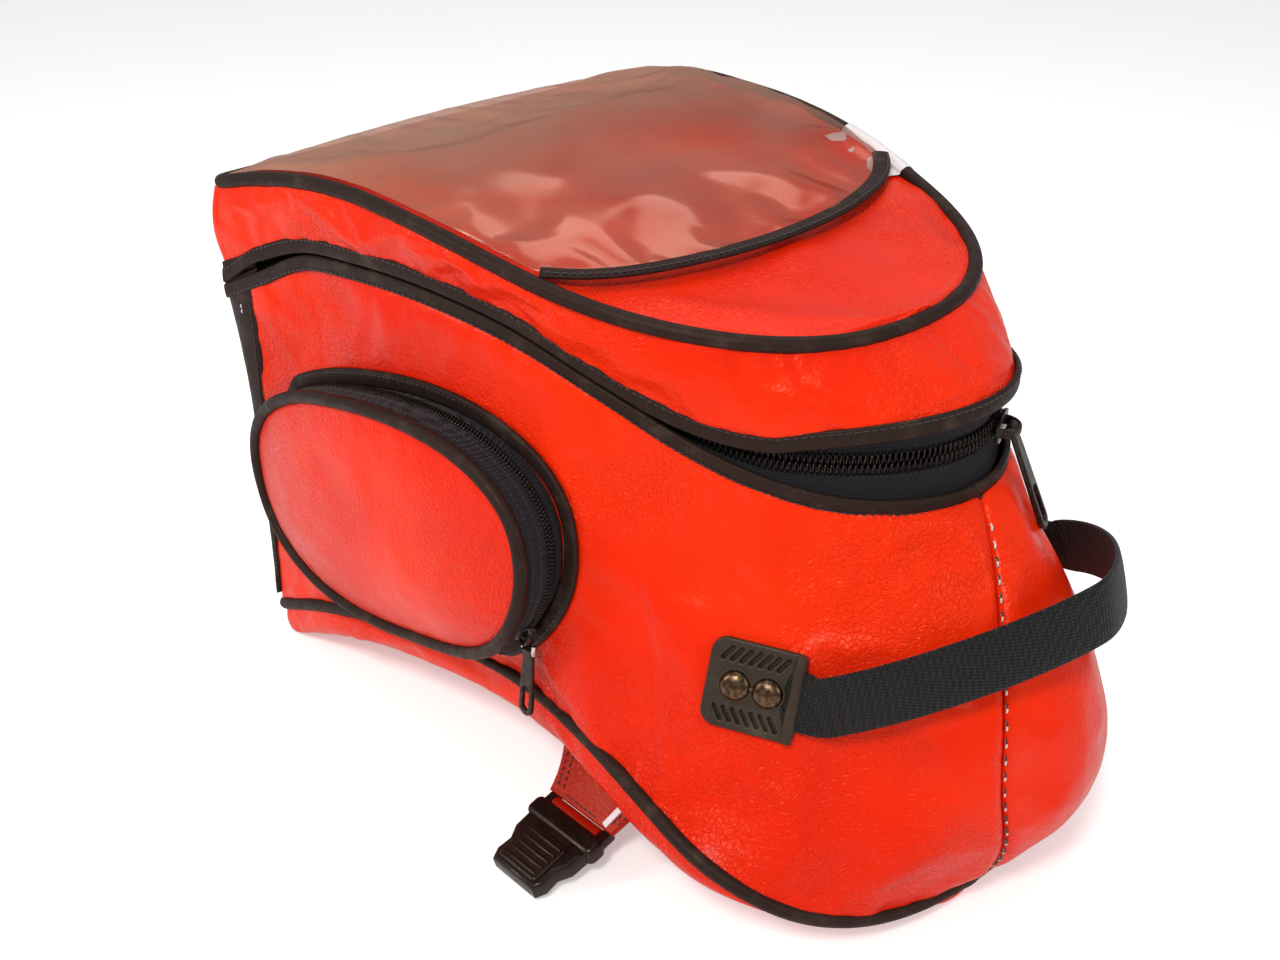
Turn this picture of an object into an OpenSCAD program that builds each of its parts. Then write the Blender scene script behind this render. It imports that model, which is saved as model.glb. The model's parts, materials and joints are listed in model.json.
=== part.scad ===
// Motorcycle tank bag: a soft bag with a flat end towards the steering head, a rounded nose
// towards the rider, an arched base that straddles the tank, a zipped lid with a clear map
// pocket, a zipped pocket on each side, a webbing handle and two strap buckles.
// X runs from the flat end to the nose, Y across the bag (the rider's left is -Y), Z up.
// The row's origin is under the middle of the body, level with the lowest edge of the base.

/* [Plan] */
// Length of the zip line from the flat end to the nose
zip_l = 342; // [336:1:348]
// Half width of the bag at the zip
zip_half_w = 122; // [118:1:124]
// Extra half width at the flat end, as a fraction
end_flare = 0.09; // [0.07:0.01:0.1]
// Length of the top panel, shorter than the zip line so that the lid slopes at the nose
top_l = 307; // [300:1:312]
// How far the nose swells out below the zip
nose_swell = 65; // [58:1:68]
// Length of the base
base_l = 373.5; // [368:0.5:378]
// Half width of the base
base_half_w = 132.6; // [130:0.2:134]
// How far the base pinches in between the flat end and the nose
base_waist = 11.6; // [6:0.2:14]

/* [Heights] */
// Top piping at the flat end
top_end_z = 250; // [246:1:254]
// Top piping at its crest
top_crest_z = 266; // [262:1:268]
// Top piping at the nose
top_nose_z = 239; // [236:1:242]
// Rise of the top panel between its two pipings
top_crown = 5; // [3:1:8]
// Base piping at the flat end
base_end_z = 16; // [15:0.5:18]
// Base piping at the top of its arch
base_arch_z = 66; // [60:1:68]
// Base piping at the nose
base_nose_z = 9; // [8:0.5:12]

/* [Sewing] */
// Thickness of the padded panels
skin_t = 3; // [2.4:0.2:3.2]
// Radius of the round piping
piping_r = 3.2; // [2.8:0.1:3.4]
// Radius of the bound zip edges
binding_r = 2.6; // [2.2:0.1:2.7]
// Space left between sewn pieces
sewing_gap = 0.5; // [0.4:0.1:0.6]
// Width of the black band round each flat-end corner, at its top
corner_band_w = 22; // [14:1:24]

/* [Main zip] */
// Height of one row of teeth
teeth_h = 4; // [3.4:0.2:4.2]
// Depth of the teeth
teeth_t = 3; // [2.6:0.2:3.2]
// Split between the two rows, where the slider's blade runs
teeth_split = 1.2; // [1.1:0.1:1.4]
// Where the slider rests, measured round the nose
slider_rest = 22; // [18:1:26]
// Length of the pull tab
pull_l = 38; // [34:1:42]

/* [Map pocket] */
// Length of the clear window from the flat end
window_l = 240; // [225:1:245]
// Width of the binding on the window's free edge
window_binding_w = 8; // [6:1:10]

/* [Handle] */
// Width of the webbing
webbing_w = 24; // [20:1:25]
// Side of the handle's moulded plates
plate_w = 37; // [34:1:38]
// Thickness of those plates
plate_t = 3; // [2.6:0.2:3.4]
// Diameter of the rivet caps
rivet_d = 12.6; // [11:0.2:13]
// How far the strap reaches out from its two pivots
strap_reach = 68; // [64:1:72]
// How far the middle of the strap stands above its pivots
strap_rise = 40; // [36:1:44]

/* [Side pockets] */
// Half length of a side pocket
pocket_a = 110; // [104:1:114]
// Half height of a side pocket
pocket_b = 60; // [56:1:61]
// Slope of the pocket's long axis
pocket_tilt = 15; // [13:1:18]
// How far the pocket's raised edge stands off the bag
pocket_depth = 23; // [21:1:25]
// Swell of the pocket's front panel
pocket_swell = 11; // [8:1:13]

/* [Buckles] */
// Width of a buckle
buckle_w = 38; // [34:1:40]
// Length of a buckle housing
buckle_l = 38; // [34:1:40]
// Length of the sewn tab that carries it
tab_l = 36; // [32:1:38]

/* [Hidden] */

RED = [0.90, 0.13, 0.06];
TRIM = [0.10, 0.07, 0.06];
WEBBING = [0.05, 0.05, 0.06];
PLASTIC = [0.07, 0.06, 0.06];
BRONZE = [0.33, 0.22, 0.13];
CLEAR = [0.85, 0.80, 0.78, 0.35];
WHITE = [0.82, 0.80, 0.80];
BOARD = [0.16, 0.16, 0.17];

end_x = -185;                       // the flat end
cols = 36;                          // steps along half of an outline
dense = 90;                         // steps of the raw outline before it is evened out
mid_level = 0.62;                   // how far down the side the swell is widest
zip_shoulder = 60;                  // straight stretch of the zip line
top_shoulder = 99;
base_shoulder = 294;
swell_shoulder = 217;
$fn = 48;

// ---- helpers ----
function lerp(a, b, t) = a + (b - a) * t;
function clamp(t) = max(0, min(1, t));
function ease(t) = let (c = clamp(t)) c * c * (3 - 2 * c);
function unit(v) = v / norm(v);
function flip_y(p) = [p.x, -p.y, p.z];
function reverse(list) = [for (i = [len(list) - 1:-1:0]) list[i]];

// Smooth curve through [position, height] stations
function station(st, x, i = 0) = i >= len(st) - 2 || x <= st[i + 1][0] ? i : station(st, x, i + 1);
function slope(st, i) =
    let (a = st[max(0, i - 1)], b = st[min(len(st) - 1, i + 1)]) (b[1] - a[1]) / (b[0] - a[0]);
function smooth(st, x) =
    let (i = station(st, x), h = st[i + 1][0] - st[i][0], t = (x - st[i][0]) / h)
    (2 * t^3 - 3 * t^2 + 1) * st[i][1] + (t^3 - 2 * t^2 + t) * h * slope(st, i)
    + (3 * t^2 - 2 * t^3) * st[i + 1][1] + (t^3 - t^2) * h * slope(st, i + 1);

// ---- outlines ----
// An outline is [start x, length, straight length, half width, roundness, flare, waist, heights]
top_outline = [end_x, top_l, top_shoulder, zip_half_w - 2, 2.39, end_flare + 0.01, 0,
    [[0, top_end_z], [0.12, lerp(top_end_z, top_crest_z, 0.62)], [0.27, top_crest_z],
     [0.5, top_crest_z - 3], [0.75, lerp(top_nose_z, top_crest_z, 0.37)], [1, top_nose_z]]];
upper_outline = [end_x, zip_l, zip_shoulder, zip_half_w, 2, end_flare, 0,
    [[0, 210], [0.08, 222], [0.155, 232], [0.235, 237], [0.39, 240], [0.54, 234.5],
     [0.66, 220], [0.763, 208], [0.845, 204], [0.9, 208], [1, 215]]];
lower_outline = [end_x, zip_l, zip_shoulder, zip_half_w, 2, end_flare, 0,
    [[0, 196], [0.08, 210], [0.155, 223], [0.235, 229], [0.39, 232.5], [0.54, 227],
     [0.66, 213], [0.763, 197], [0.845, 186], [0.92, 179.5], [1, 177]]];
swell_outline = [end_x + 4, zip_l - 4 + nose_swell, swell_shoulder, zip_half_w + 8.5, 1.74, 0,
    base_waist / 2, [[0, 101], [0.4, 93], [0.7, 80], [1, 65]]];
base_outline = [end_x + 4.5, base_l, base_shoulder, base_half_w, 2.39, 0, base_waist,
    [[0, base_end_z], [0.107, 35], [0.213, 49], [0.32, 59], [0.427, base_arch_z - 2],
     [0.534, base_arch_z], [0.64, base_arch_z - 2], [0.748, 57], [0.869, 41], [0.94, 24],
     [1, base_nose_z]]];

function height(o, x) = smooth(o[7], (x - o[0]) / o[1]);
function waist(o, x) = x > o[0] + o[2] + 60 ? 0 : o[6] * exp(-((x - 5) / 80)^2);
function raw_half(o) = concat(
    [for (k = [0:dense - 1]) let (t = k / dense, x = o[0] + o[2] * t)
        [x, o[3] * (1 + o[5] * (1 - t)) - waist(o, x)]],
    [for (k = [0:dense]) let (a = 90 * k / dense, x = o[0] + o[2] + (o[1] - o[2]) * sin(a)^(2 / o[4]))
        [x, max(0, o[3] * cos(a)^(2 / o[4]) - (k < dense ? waist(o, x) : 0))]]);
function running(p) =
    [for (i = 0, s = 0; i < len(p); i = i + 1, s = s + (i < len(p) ? norm(p[i] - p[i - 1]) : 0)) s];
// The outline from the flat end's corner to the nose, in even steps, with its heights
function half(o) =
    let (p = raw_half(o), s = running(p), n = len(p) - 1,
         xs = [for (i = [0:n]) [s[i], p[i].x]], ys = [for (i = [0:n]) [s[i], p[i].y]])
    [for (i = [0:cols]) let (q = s[n] * i / cols, x = lookup(q, xs)) [x, lookup(q, ys), height(o, x)]];

top_line = half(top_outline);
upper_line = half(upper_outline);
lower_line = half(lower_outline);
swell_line = half(swell_outline);
base_line = half(base_outline);

// Point on a half outline at a fractional step
function at(p, c) = let (i = min(floor(c), cols - 1)) lerp(p[i], p[i + 1], c - i);
// Left half, round the nose, then the right half back to the flat end
function round_nose(p) = concat([for (q = p) flip_y(q)], reverse([for (i = [0:len(p) - 2]) p[i]]));
// Outward direction of a half outline in plan
function outward(p, c) =
    let (e = 0.5, a = at(p, max(0, c - e)), b = at(p, min(cols, c + e)), d = unit([b.x - a.x, b.y - a.y]))
    c >= cols ? [1, 0, 0] : [-d.y, d.x, 0];
function inset(p, c, d, z) = let (q = at(p, c) - outward(p, c) * d) [q.x, max(q.y, 0), z];

// ---- surfaces ----
// Side of the bag: c steps along it, v from the zip (0) to the base piping (1)
function side_at(c, v) =
    let (k = mid_level)
    at(lower_line, c) * (v - k) * (v - 1) / k + at(swell_line, c) * v * (v - 1) / (k * (k - 1))
    + at(base_line, c) * v * (v - k) / (1 - k);
function side_normal(c, v) =
    let (e = 0.4, u = side_at(min(cols, c + e), v) - side_at(max(0, c - e), v),
         w = side_at(c, min(1, v + 0.02)) - side_at(c, max(0, v - 0.02)))
    unit(cross(u, w));
// Share of the side's height that lies within a distance of its upper or lower edge
function side_gap(c, gap, edge, lo = 0, hi = 0.3, n = 10) =
    let (m = (lo + hi) / 2)
    n == 0 ? m : norm(side_at(c, abs(edge - m)) - side_at(c, edge)) < gap
        ? side_gap(c, gap, edge, m, hi, n - 1) : side_gap(c, gap, edge, lo, m, n - 1);
// Lid side: v from the zip (0) to the top piping (1), swelling out a little
function gusset_at(c, v) =
    lerp(at(upper_line, c), at(top_line, c), v) + outward(upper_line, c) * 4 * sin(180 * v);

// ---- solids from grids ----
function grid_faces(rows, n, base, flip) =
    [for (r = [0:rows - 2], c = [0:n - 2])
        let (a = base + r * n + c, q = [a, a + 1, a + n + 1, a + n]) flip ? reverse(q) : q];
function grid_rim(rows, n) = concat(
    [for (c = [0:n - 1]) c], [for (r = [1:rows - 1]) r * n + n - 1],
    [for (c = [n - 2:-1:0]) (rows - 1) * n + c], [for (r = [rows - 2:-1:1]) r * n]);
// Closed sheet between an outer and an inner grid of the same size
module sheet(outer, inner) {
    rows = len(outer);
    n = len(outer[0]);
    count = rows * n;
    rim = grid_rim(rows, n);
    polyhedron(
        points = concat([for (r = outer, p = r) p], [for (r = inner, p = r) p]),
        faces = concat(
            grid_faces(rows, n, 0, true), grid_faces(rows, n, count, false),
            [for (i = [0:len(rim) - 1])
                let (a = rim[i], b = rim[(i + 1) % len(rim)]) [a, b, b + count, a + count]]),
        convexity = 8);
}
// Solid through a row of rings that all have the same number of points
module loft(rings, closed = false) {
    n = len(rings[0]);
    last = len(rings) - 1;
    polyhedron(
        points = [for (r = rings, p = r) p],
        faces = concat(
            [for (i = [0:last - (closed ? 0 : 1)], j = [0:n - 1])
                let (a = i * n, b = ((i + 1) % (last + 1)) * n, k = (j + 1) % n)
                [a + j, b + j, b + k, a + k]],
            closed ? [] : [[for (j = [0:n - 1]) j], [for (j = [n - 1:-1:0]) last * n + j]]),
        convexity = 8);
}
// Round cord along a path
module cord(path, r, closed = false, sides = 8) {
    last = len(path) - 1;
    step = [for (i = [0:last]) unit(
        path[closed ? (i + 1) % (last + 1) : min(i + 1, last)]
        - path[closed ? (i + last) % (last + 1) : max(i - 1, 0)])];
    loft([for (i = [0:last]) let (across = unit(cross([0, 0, 1], step[i])), up = cross(step[i], across))
        [for (k = [0:sides - 1]) let (t = 360 * k / sides) path[i] + r * (across * cos(t) + up * sin(t))]],
        closed);
}
// Ring of an outline closed across the flat end
function closed_loop(p) = concat(round_nose(p),
    [for (k = [1:7]) lerp(p[0], flip_y(p[0]), k / 8)]);

// ---- body shell ----
side_rows = 9;
function band_cols(v) = lerp(corner_band_w, 4, v) / norm(side_at(1, v) - side_at(0, v));
function side_v(c, r) =
    lerp(side_gap(c, binding_r + 2 * sewing_gap, 0), 1 - side_gap(c, piping_r + sewing_gap, 1), r / side_rows);
function off_seam(p) = [p.x, max(p.y, 0.2), p.z];
function side_grid(depth, from_c, to_c, steps) =
    [for (r = [0:side_rows])
        [for (k = [0:steps])
            let (v0 = r / side_rows, c = lerp(from_c ? band_cols(v0) + 0.05 : 0,
                                              to_c ? band_cols(v0) : cols, k / steps),
                 v = side_v(c, r))
            off_seam(side_at(c, v) - side_normal(c, v) * depth)]];

module on_left() mirror([0, 1, 0]) children();

module side_panel() color(RED)
    sheet(side_grid(0, true, false, cols), side_grid(skin_t, true, false, cols));

module corner_band() color(TRIM)
    sheet(side_grid(0, false, true, 3), side_grid(skin_t, false, true, 3));

// Black flat-end panel, from the hinge line down to the red foot strip
foot_v = 0.93;
hinge_z = upper_outline[7][0][1] - 1;
function front_row(p, z, depth) =
    [for (k = [0:12]) [p.x + depth, (1 - k / 6) * (p.y - skin_t - 2 * sewing_gap), z]];
function front_grid(depth) = concat(
    [front_row(side_at(0, 0), hinge_z - 0.8, depth)],
    [for (r = [0:6]) let (p = side_at(0, lerp(0.02, foot_v - 0.004, r / 6))) front_row(p, p.z, depth)]);
module front_panel() color(TRIM) sheet(front_grid(0), front_grid(skin_t));

// Red strip across the foot of the flat end; its flat underside is the edge the bag rests on
foot_t = 4;
module foot_strip() color(RED) {
    p = side_at(0, foot_v);
    w = p.y - skin_t - sewing_gap;
    over = base_end_z + piping_r + sewing_gap;
    translate([p.x, -w, over]) cube([5, 2 * w, p.z - 0.2 - over]);
    translate([base_line[0].x + piping_r + sewing_gap, -w, 0]) cube([foot_t, 2 * w, p.z - 0.2]);
}

seam_half_w = 7;
module nose_seam_tape() {
    function tape(depth) = [for (r = [0:12]) let (v = lerp(0.06, 0.92, r / 12), n = side_normal(cols, v))
        [for (k = [-1:1]) let (q = side_at(cols, v) - [n.x, 0, n.z] * depth) [q.x, -k * seam_half_w, q.z]]];
    color(TRIM) sheet(tape(skin_t + 1.6), tape(skin_t + 2.6));
}

// ---- base ----
lip = 16;                           // how far the base curves down below its piping
base_rows = 6;                      // steps from the middle to one edge
pad_half_w = 62;                    // under the nose the base swells down to a resting pad
base_set = 1.2;                     // the base panel's edge sits a little below its piping
// At the nose's shoulders the side comes down from further in, and the base makes room for it
function shoulder(c) = ease((c - 20.4) / 1.8) * ease((29 - c) / 3);
function base_z(c, w, drop) =
    let (p = at(base_line, c), tip_x = base_line[cols].x - p.x, y = abs(w) * p.y, nose = ease((100 - tip_x) / 60),
         fall = ease(min((p.y - y) / lerp(10, 32, nose), tip_x / 26)),
         pad = ease((80 - tip_x) / 30) * ease((pad_half_w - y) / 30),
         sag = lerp(min(lip, p.z), p.z, pad),
         arch = 9 * sin(180 * clamp((p.x - end_x - 10) / (base_l - 60))) * (1 - w * w))
    max(0, p.z - sag * fall + arch - base_set - 2 * shoulder(c)) + drop;
function base_grid(drop) =
    [for (i = [0:cols]) let (c = i == 0 ? 0.9 : i == 1 ? 1.5 : i)
        [for (k = [-base_rows:base_rows])
            let (w = sin(90 * k / base_rows), q = inset(base_line, c, piping_r + sewing_gap + 4 * shoulder(c), 0))
            [q.x, w * max(q.y, 1.2), base_z(c, w, drop)]]];
module base_panel() color(RED) sheet(base_grid(2.4), base_grid(0));

// Stiffener lying in the base, following its arch
board_margin = 26;
board_end = 21;                     // the board stops short of the nose, in steps
module base_board() {
    function board(lift) = [for (k = [3:2:board_end]) let (p = base_line[k])
        [for (j = [-3:3]) let (w = j / 3 * (p.y - board_margin) / p.y) [p.x, w * p.y, base_z(k, w, 0) + lift]]];
    color(BOARD) sheet(board(7.4), board(4.4));
}

module base_piping() color(TRIM) cord(closed_loop(base_line), piping_r, closed = true);

// ---- zip ----
zip_start = 0.7;                    // the zip stops short of the flat end's corners, in steps
teeth_inset = binding_r + 1.2;      // teeth lie just inside the two bindings
tape_t = 1;
function zip_mid(c) = (at(upper_line, c).z + at(lower_line, c).z) / 2;
function zip_gap(c) = at(upper_line, c).z - at(lower_line, c).z;
function zip_cols() = [for (k = [0:cols]) lerp(zip_start, cols, k / cols)];
function zip_point(c, d, z) = inset(upper_line, c, d, z);
// Band of the zip from height z0 to z1 above its middle, between two depths
module zip_band(low, high, near, far) {
    function wall(d) = [for (h = [1, 0]) round_nose([for (c = zip_cols())
        zip_point(c, d, zip_mid(c) + (h == 1 ? high(c) : low(c)))])];
    sheet(wall(near), wall(far));
}
tape_in = teeth_inset + (teeth_t - tape_t) / 2;
module upper_zip_teeth() color(TRIM)
    zip_band(function(c) teeth_split / 2, function(c) teeth_split / 2 + teeth_h, teeth_inset, teeth_inset + teeth_t);
module lower_zip_teeth() color(TRIM)
    zip_band(function(c) -teeth_split / 2 - teeth_h, function(c) -teeth_split / 2, teeth_inset, teeth_inset + teeth_t);
tape_from = teeth_split / 2 + teeth_h + 0.2;
function tape_reach(c) = zip_gap(c) / 2 + max(-2, 7 - zip_gap(c) * 0.4);
module upper_zip_tape() color(TRIM)
    zip_band(function(c) tape_from, function(c) max(tape_reach(c), tape_from + 2), tape_in, tape_in + tape_t);
module lower_zip_tape() color(TRIM)
    zip_band(function(c) -zip_gap(c) / 2 - 5, function(c) -tape_from, tape_in, tape_in + tape_t);
module upper_zip_binding() color(TRIM) cord(round_nose(upper_line), binding_r, sides = 6);
module lower_zip_binding() color(TRIM) cord(round_nose(lower_line), binding_r, sides = 6);

// ---- lid ----
lid_rows = 5;
module lid_gusset() {
    function wall(depth) = [for (r = [lid_rows:-1:0]) round_nose([for (k = [0:cols])
        let (c = lerp(0.35, cols, k / cols), span = norm(at(top_line, c) - at(upper_line, c)),
             v = lerp((binding_r + 2 * sewing_gap) / span, 1 - (piping_r + 3 * sewing_gap) / span, r / lid_rows),
             slope_z = (at(top_line, c) - at(upper_line, c)) / span,
             n = outward(upper_line, c), m = unit(n - slope_z * (slope_z * n)), q = gusset_at(c, v) - m * depth)
        [q.x, max(q.y, 0), q.z]])];
    color(RED) sheet(wall(0), wall(skin_t));
}
strip_z = top_end_z - 14;           // the lid's flat end is red above this and black below
module lid_front_strip() color(RED) {
    w = top_line[0].y - skin_t - 1.5;
    translate([end_x, -w, strip_z + 0.3]) cube([skin_t, 2 * w, top_end_z - piping_r - 0.6 - strip_z]);
}
module lid_hinge_panel() color(TRIM) {
    w = upper_line[0].y - skin_t - 3;
    translate([end_x, -w, hinge_z]) cube([skin_t, 2 * w, strip_z - hinge_z]);
}
lid_cross = 5;
function lid_grid(from_i, to_i, margin, lift, step = 1) =
    [for (i = [from_i:step:to_i]) let (c = i == 0 ? 0.45 : i, q = inset(top_line, c, margin, 0))
        [for (k = [-lid_cross:lid_cross]) let (w = k / lid_cross)
            [q.x, w * max(q.y, 1.2), height(top_outline, at(top_line, c).x) + top_crown * (1 - w * w) + lift]]];
module top_panel() color(RED) {
    m = piping_r + sewing_gap;
    sheet(lid_grid(0, cols, m, 0), lid_grid(0, cols, m, -skin_t));
}
module lid_board() color(BOARD)
    sheet(lid_grid(2, cols - 4, 16, -skin_t - 0.8, 2), lid_grid(2, cols - 4, 16, -skin_t - 3.8, 2));
module top_piping() color(TRIM) cord(closed_loop(top_line), piping_r, closed = true);

// The window's free edge bows towards the nose in the middle
function window_edge(w) = end_x + window_l - 26 * w * w;
module window_sheet(t0, t1, margin, low, high) {
    function rows(lift) = [for (r = [0:12]) [for (k = [-lid_cross:lid_cross])
        let (w = k / lid_cross, x = lerp(t0, window_edge(w) + t1, r / 12),
             half_w = lookup(x, [for (p = top_line) [p.x, p.y]]) - margin)
        [x, w * half_w, height(top_outline, x) + top_crown * (1 - w * w) + lift]]];
    sheet(rows(high), rows(low));
}
window_margin = piping_r + 1.6;
module map_window() color(CLEAR) window_sheet(end_x + 5, -window_binding_w - 0.4, window_margin, 1.2, 1.8);
module window_binding() {
    function strip(lift) = [for (r = [0:1]) [for (k = [-lid_cross:lid_cross])
        let (w = k / lid_cross, x = window_edge(w) - window_binding_w * (1 - r),
             half_w = lookup(x, [for (p = top_line) [p.x, p.y]]) - window_margin)
        [x, w * half_w, height(top_outline, x) + top_crown * (1 - w * w) + lift]]];
    color(TRIM) sheet(strip(2.6), strip(0.8));
}
// Folded tab over the piping on the rider's right, at the window's corner
module window_tab() {
    function tab(r) = [for (k = [0:6]) let (c = lerp(17.2, 21, k / 6), p = at(top_line, c),
                             o = outward(top_line, c))
        [for (a = [0:5]) let (t = 20 + 28 * a) p + o * cos(t) * r + [0, 0, sin(t) * r]]];
    color(WHITE) sheet(tab(piping_r + 1.6), tab(piping_r + 0.5));
}

// ---- slider and pull tab ----
// In the slider's own frame X runs along the teeth, Y points out of the bag, Z across the teeth
slide_gap = 1;
pin_r = 1.1;
pin_play = 0.06;
module zip_slider(l, h, depth) color(PLASTIC) {
    lug_x = l * 0.26;
    pin_y = slide_gap + 5.4;
    translate([-l / 2, slide_gap, -h / 2]) cube([l, 2, h]);
    translate([-l / 2, -depth - slide_gap - 1.4, -h / 2]) cube([l, 1.4, h]);
    translate([-l / 2, -depth - slide_gap - 0.5, -0.22]) cube([l * 0.3, depth + 2 * slide_gap + 1.5, 0.44]);
    for (s = [-1, 1]) translate([s * lug_x - 0.8, slide_gap + 1.5, -1.9]) cube([1.6, 5.2, 3.8]);
    translate([-lug_x, pin_y, 0]) rotate([0, 90, 0]) cylinder(r = pin_r, h = 2 * lug_x);
}
// Pull tab hanging from the slider's pin; X along the pin, -Z down the tab
module zip_pull(l, w, t, ring_l) color(PLASTIC) {
    difference() {
        union() {
            translate([-ring_l / 2, 0, 0]) rotate([0, 90, 0]) cylinder(r = 2.3, h = ring_l);
            translate([-ring_l / 2, -t / 2, -7]) cube([ring_l, t, 6]);
            translate([-w / 2, -t / 2, -l + w / 2]) cube([w, t, l - w / 2 - 5]);
            translate([0, t / 2, -l + w / 2]) rotate([90, 0, 0]) cylinder(d = w, h = t);
        }
        translate([-ring_l, 0, 0]) rotate([0, 90, 0]) cylinder(r = pin_r + pin_play, h = 2 * ring_l);
        translate([0, t, -l + w / 2]) rotate([90, 0, 0]) cylinder(d = w * 0.5, h = 2 * t);
        translate([-w * 0.25, -t, -l + w / 2]) cube([w * 0.5, 2 * t, w * 0.8]);
    }
}
nose_r = (zip_half_w)^2 / (zip_l - zip_shoulder);   // the nose's radius of curvature
nose_x = end_x + zip_l - nose_r;
slider_l = 15;
slider_h = 12;
module at_main_slider()
    translate([nose_x, 0, zip_mid(cols) - 0.1]) rotate([0, 0, slider_rest])
        translate([nose_r - teeth_inset, 0, 0]) rotate([0, 0, -90]) children();
pull_lean = 30;                     // the pull tab leans out over the nose
module main_slider() at_main_slider() zip_slider(slider_l, slider_h, teeth_t);
module main_pull_tab() color(PLASTIC) at_main_slider()
    translate([0, slide_gap + 5.4, 0]) rotate([pull_lean, 0, 0])
        zip_pull(pull_l, 8.5, 2, 2 * 0.26 * slider_l - 1.6 - 0.6);

// ---- handle ----
plate_c = 0.7 * cols;
plate_v = 0.4;
plate_p = side_at(plate_c, plate_v);
plate_n = side_normal(plate_c, plate_v);
plate_u = unit(side_at(plate_c + 0.5, plate_v) - side_at(plate_c - 0.5, plate_v));
plate_lift = 0.6;
// Local X along u and local Z along n, squared up so that round parts stay round
module in_frame(p, u, n) {
    d = unit(cross(n, u));
    m = cross(u, d);
    multmatrix([[u.x, d.x, m.x, p.x], [u.y, d.y, m.y, p.y], [u.z, d.z, m.z, p.z]]) children();
}
module on_plate() in_frame(plate_p, plate_u, plate_n) children();
module on_left_plate() in_frame(flip_y(plate_p), flip_y(plate_u), flip_y(plate_n)) children();
slot_n = 7;
rivet_at = [[-6.4, 0], [6.9, 0]];
rivet_shank_r = 2.4;
rivet_h = 2.6;
module plate_outline() difference() {
    translate([-plate_w / 2, -plate_w / 2]) union() {
        translate([6, 0]) square([plate_w - 6, plate_w]);
        translate([0, 6]) square([plate_w, plate_w - 12]);
        for (y = [6, plate_w - 6]) translate([6, y]) circle(r = 6);
    }
    for (side = [-1, 1], k = [0:slot_n - 1])
        translate([-11 + 3.7 * k, side * 12]) rotate(-35 * side) square([1.7, 7], center = true);
    for (r = rivet_at) translate(r) circle(r = rivet_shank_r + 0.05);
}
ridge_r = 2.6;
pivot_u = plate_w / 2 + 9.5;        // strap pivot, in front of the plate
pivot_p = plate_p + plate_u * pivot_u + plate_n * (plate_lift + 5);
pivot_r = 1.6;
eye_half = 2.6;
strap_eye_r = 3.6;
module handle_plate() color(PLASTIC) {
    on_plate() translate([0, 0, plate_lift]) {
        linear_extrude(height = plate_t) plate_outline();
        translate([plate_w / 2, plate_w / 2 - 1, ridge_r]) rotate([90, 0, 0])
            cylinder(r = ridge_r, h = plate_w - 2);
        translate([plate_w / 2 - 2, -1, 1]) cube([5, 5.5, 9.4]);
        translate([plate_w / 2 - 2, -1, 8]) cube([10, 5.5, 2.4]);
    }
    // Cheek and pin for the strap's eye
    translate(pivot_p + [-2.6, eye_half + 0.5, -3.2]) cube([5.2, 3, 6.4]);
    translate(pivot_p + [0, -eye_half - 0.8, 0]) rotate([-90, 0, 0]) cylinder(r = pivot_r, h = 2 * eye_half + 3);
}
module rivets() for (r = rivet_at) translate([r.x, r.y, plate_lift])
    rotate_extrude() polygon(concat(
        [[0, 0], [rivet_shank_r, 0], [rivet_shank_r, plate_t + 0.1]],
        [for (k = [0:4]) [rivet_d / 2 * cos(22.5 * k), plate_t + 0.1 + rivet_h * sin(22.5 * k)]]));
module handle_rivets() color(BRONZE) { on_plate() rivets(); on_left_plate() rivets(); }

strap_round = 1.5;
strap_lean = 18;
webbing_t = 2.2;
module handle_strap() {
    function on_path(a) = let (r = cos(a)^(2 / strap_round))
        [pivot_p.x + strap_reach * r, pivot_p.y * sign(a) * abs(sin(a))^(2 / strap_round),
         pivot_p.z + strap_rise * r];
    turns = [for (k = [-26:26]) sign(k) * (1 - (1 - abs(k) / 26)^1.6) * 84.5];
    up = [-sin(strap_lean), 0, cos(strap_lean)];
    function side(k, s, d) =
        let (p = on_path(turns[k]), q = on_path(turns[k] + 1) - on_path(turns[k] - 1), n = unit(cross(q, up)),
             narrow = ease((abs(pivot_p.y) - abs(p.y)) / 16), w = lerp(2.4, webbing_w / 2, narrow))
        p + up * s * w + n * d;
    color(WEBBING) sheet([for (s = [-1, 0, 1]) [for (k = [0:52]) side(k, s, webbing_t / 2)]],
                         [for (s = [-1, 0, 1]) [for (k = [0:52]) side(k, s, -webbing_t / 2)]]);
    color(WEBBING) for (s = [-1, 1]) translate([pivot_p.x, s * pivot_p.y, pivot_p.z]) rotate([s * 90, 0, 0])
        translate([0, 0, -eye_half]) difference() {
            cylinder(r = strap_eye_r, h = 2 * eye_half);
            translate([0, 0, -1]) cylinder(r = pivot_r + pin_play, h = 2 * eye_half + 2);
        }
}

// ---- side pockets ----
pocket_x = -68;
pocket_z = 121;
pocket_round = 2.2;
pocket_steps = 48;
zip_from = -62;                     // the pocket's zip runs round its top and nose side
zip_to = 114;
shallow = 4.4;                      // stand-off where the flap is sewn to the bag
pocket_cord_r = 3;
lean_x = 0.55;                      // direction across the flap, away from its sewn edge
lean_z = sqrt(1 - lean_x * lean_x);

// Where a place in side view lies on the bag's side: its step along, its share down, then its distance out
function col_at(x, v) = lookup(x, [for (c = [0:cols]) [side_at(c, v).x, c]]);
function row_at(c, z, lo = 0, hi = 1, n = 12) =
    let (m = (lo + hi) / 2) n == 0 ? m : side_at(c, m).z > z ? row_at(c, z, m, hi, n - 1) : row_at(c, z, lo, m, n - 1);
function wall_y(x, z, v = 0.5, n = 3) =
    let (c = col_at(x, v), w = row_at(c, z)) n == 0 ? side_at(c, w).y : wall_y(x, z, w, n - 1);

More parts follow.
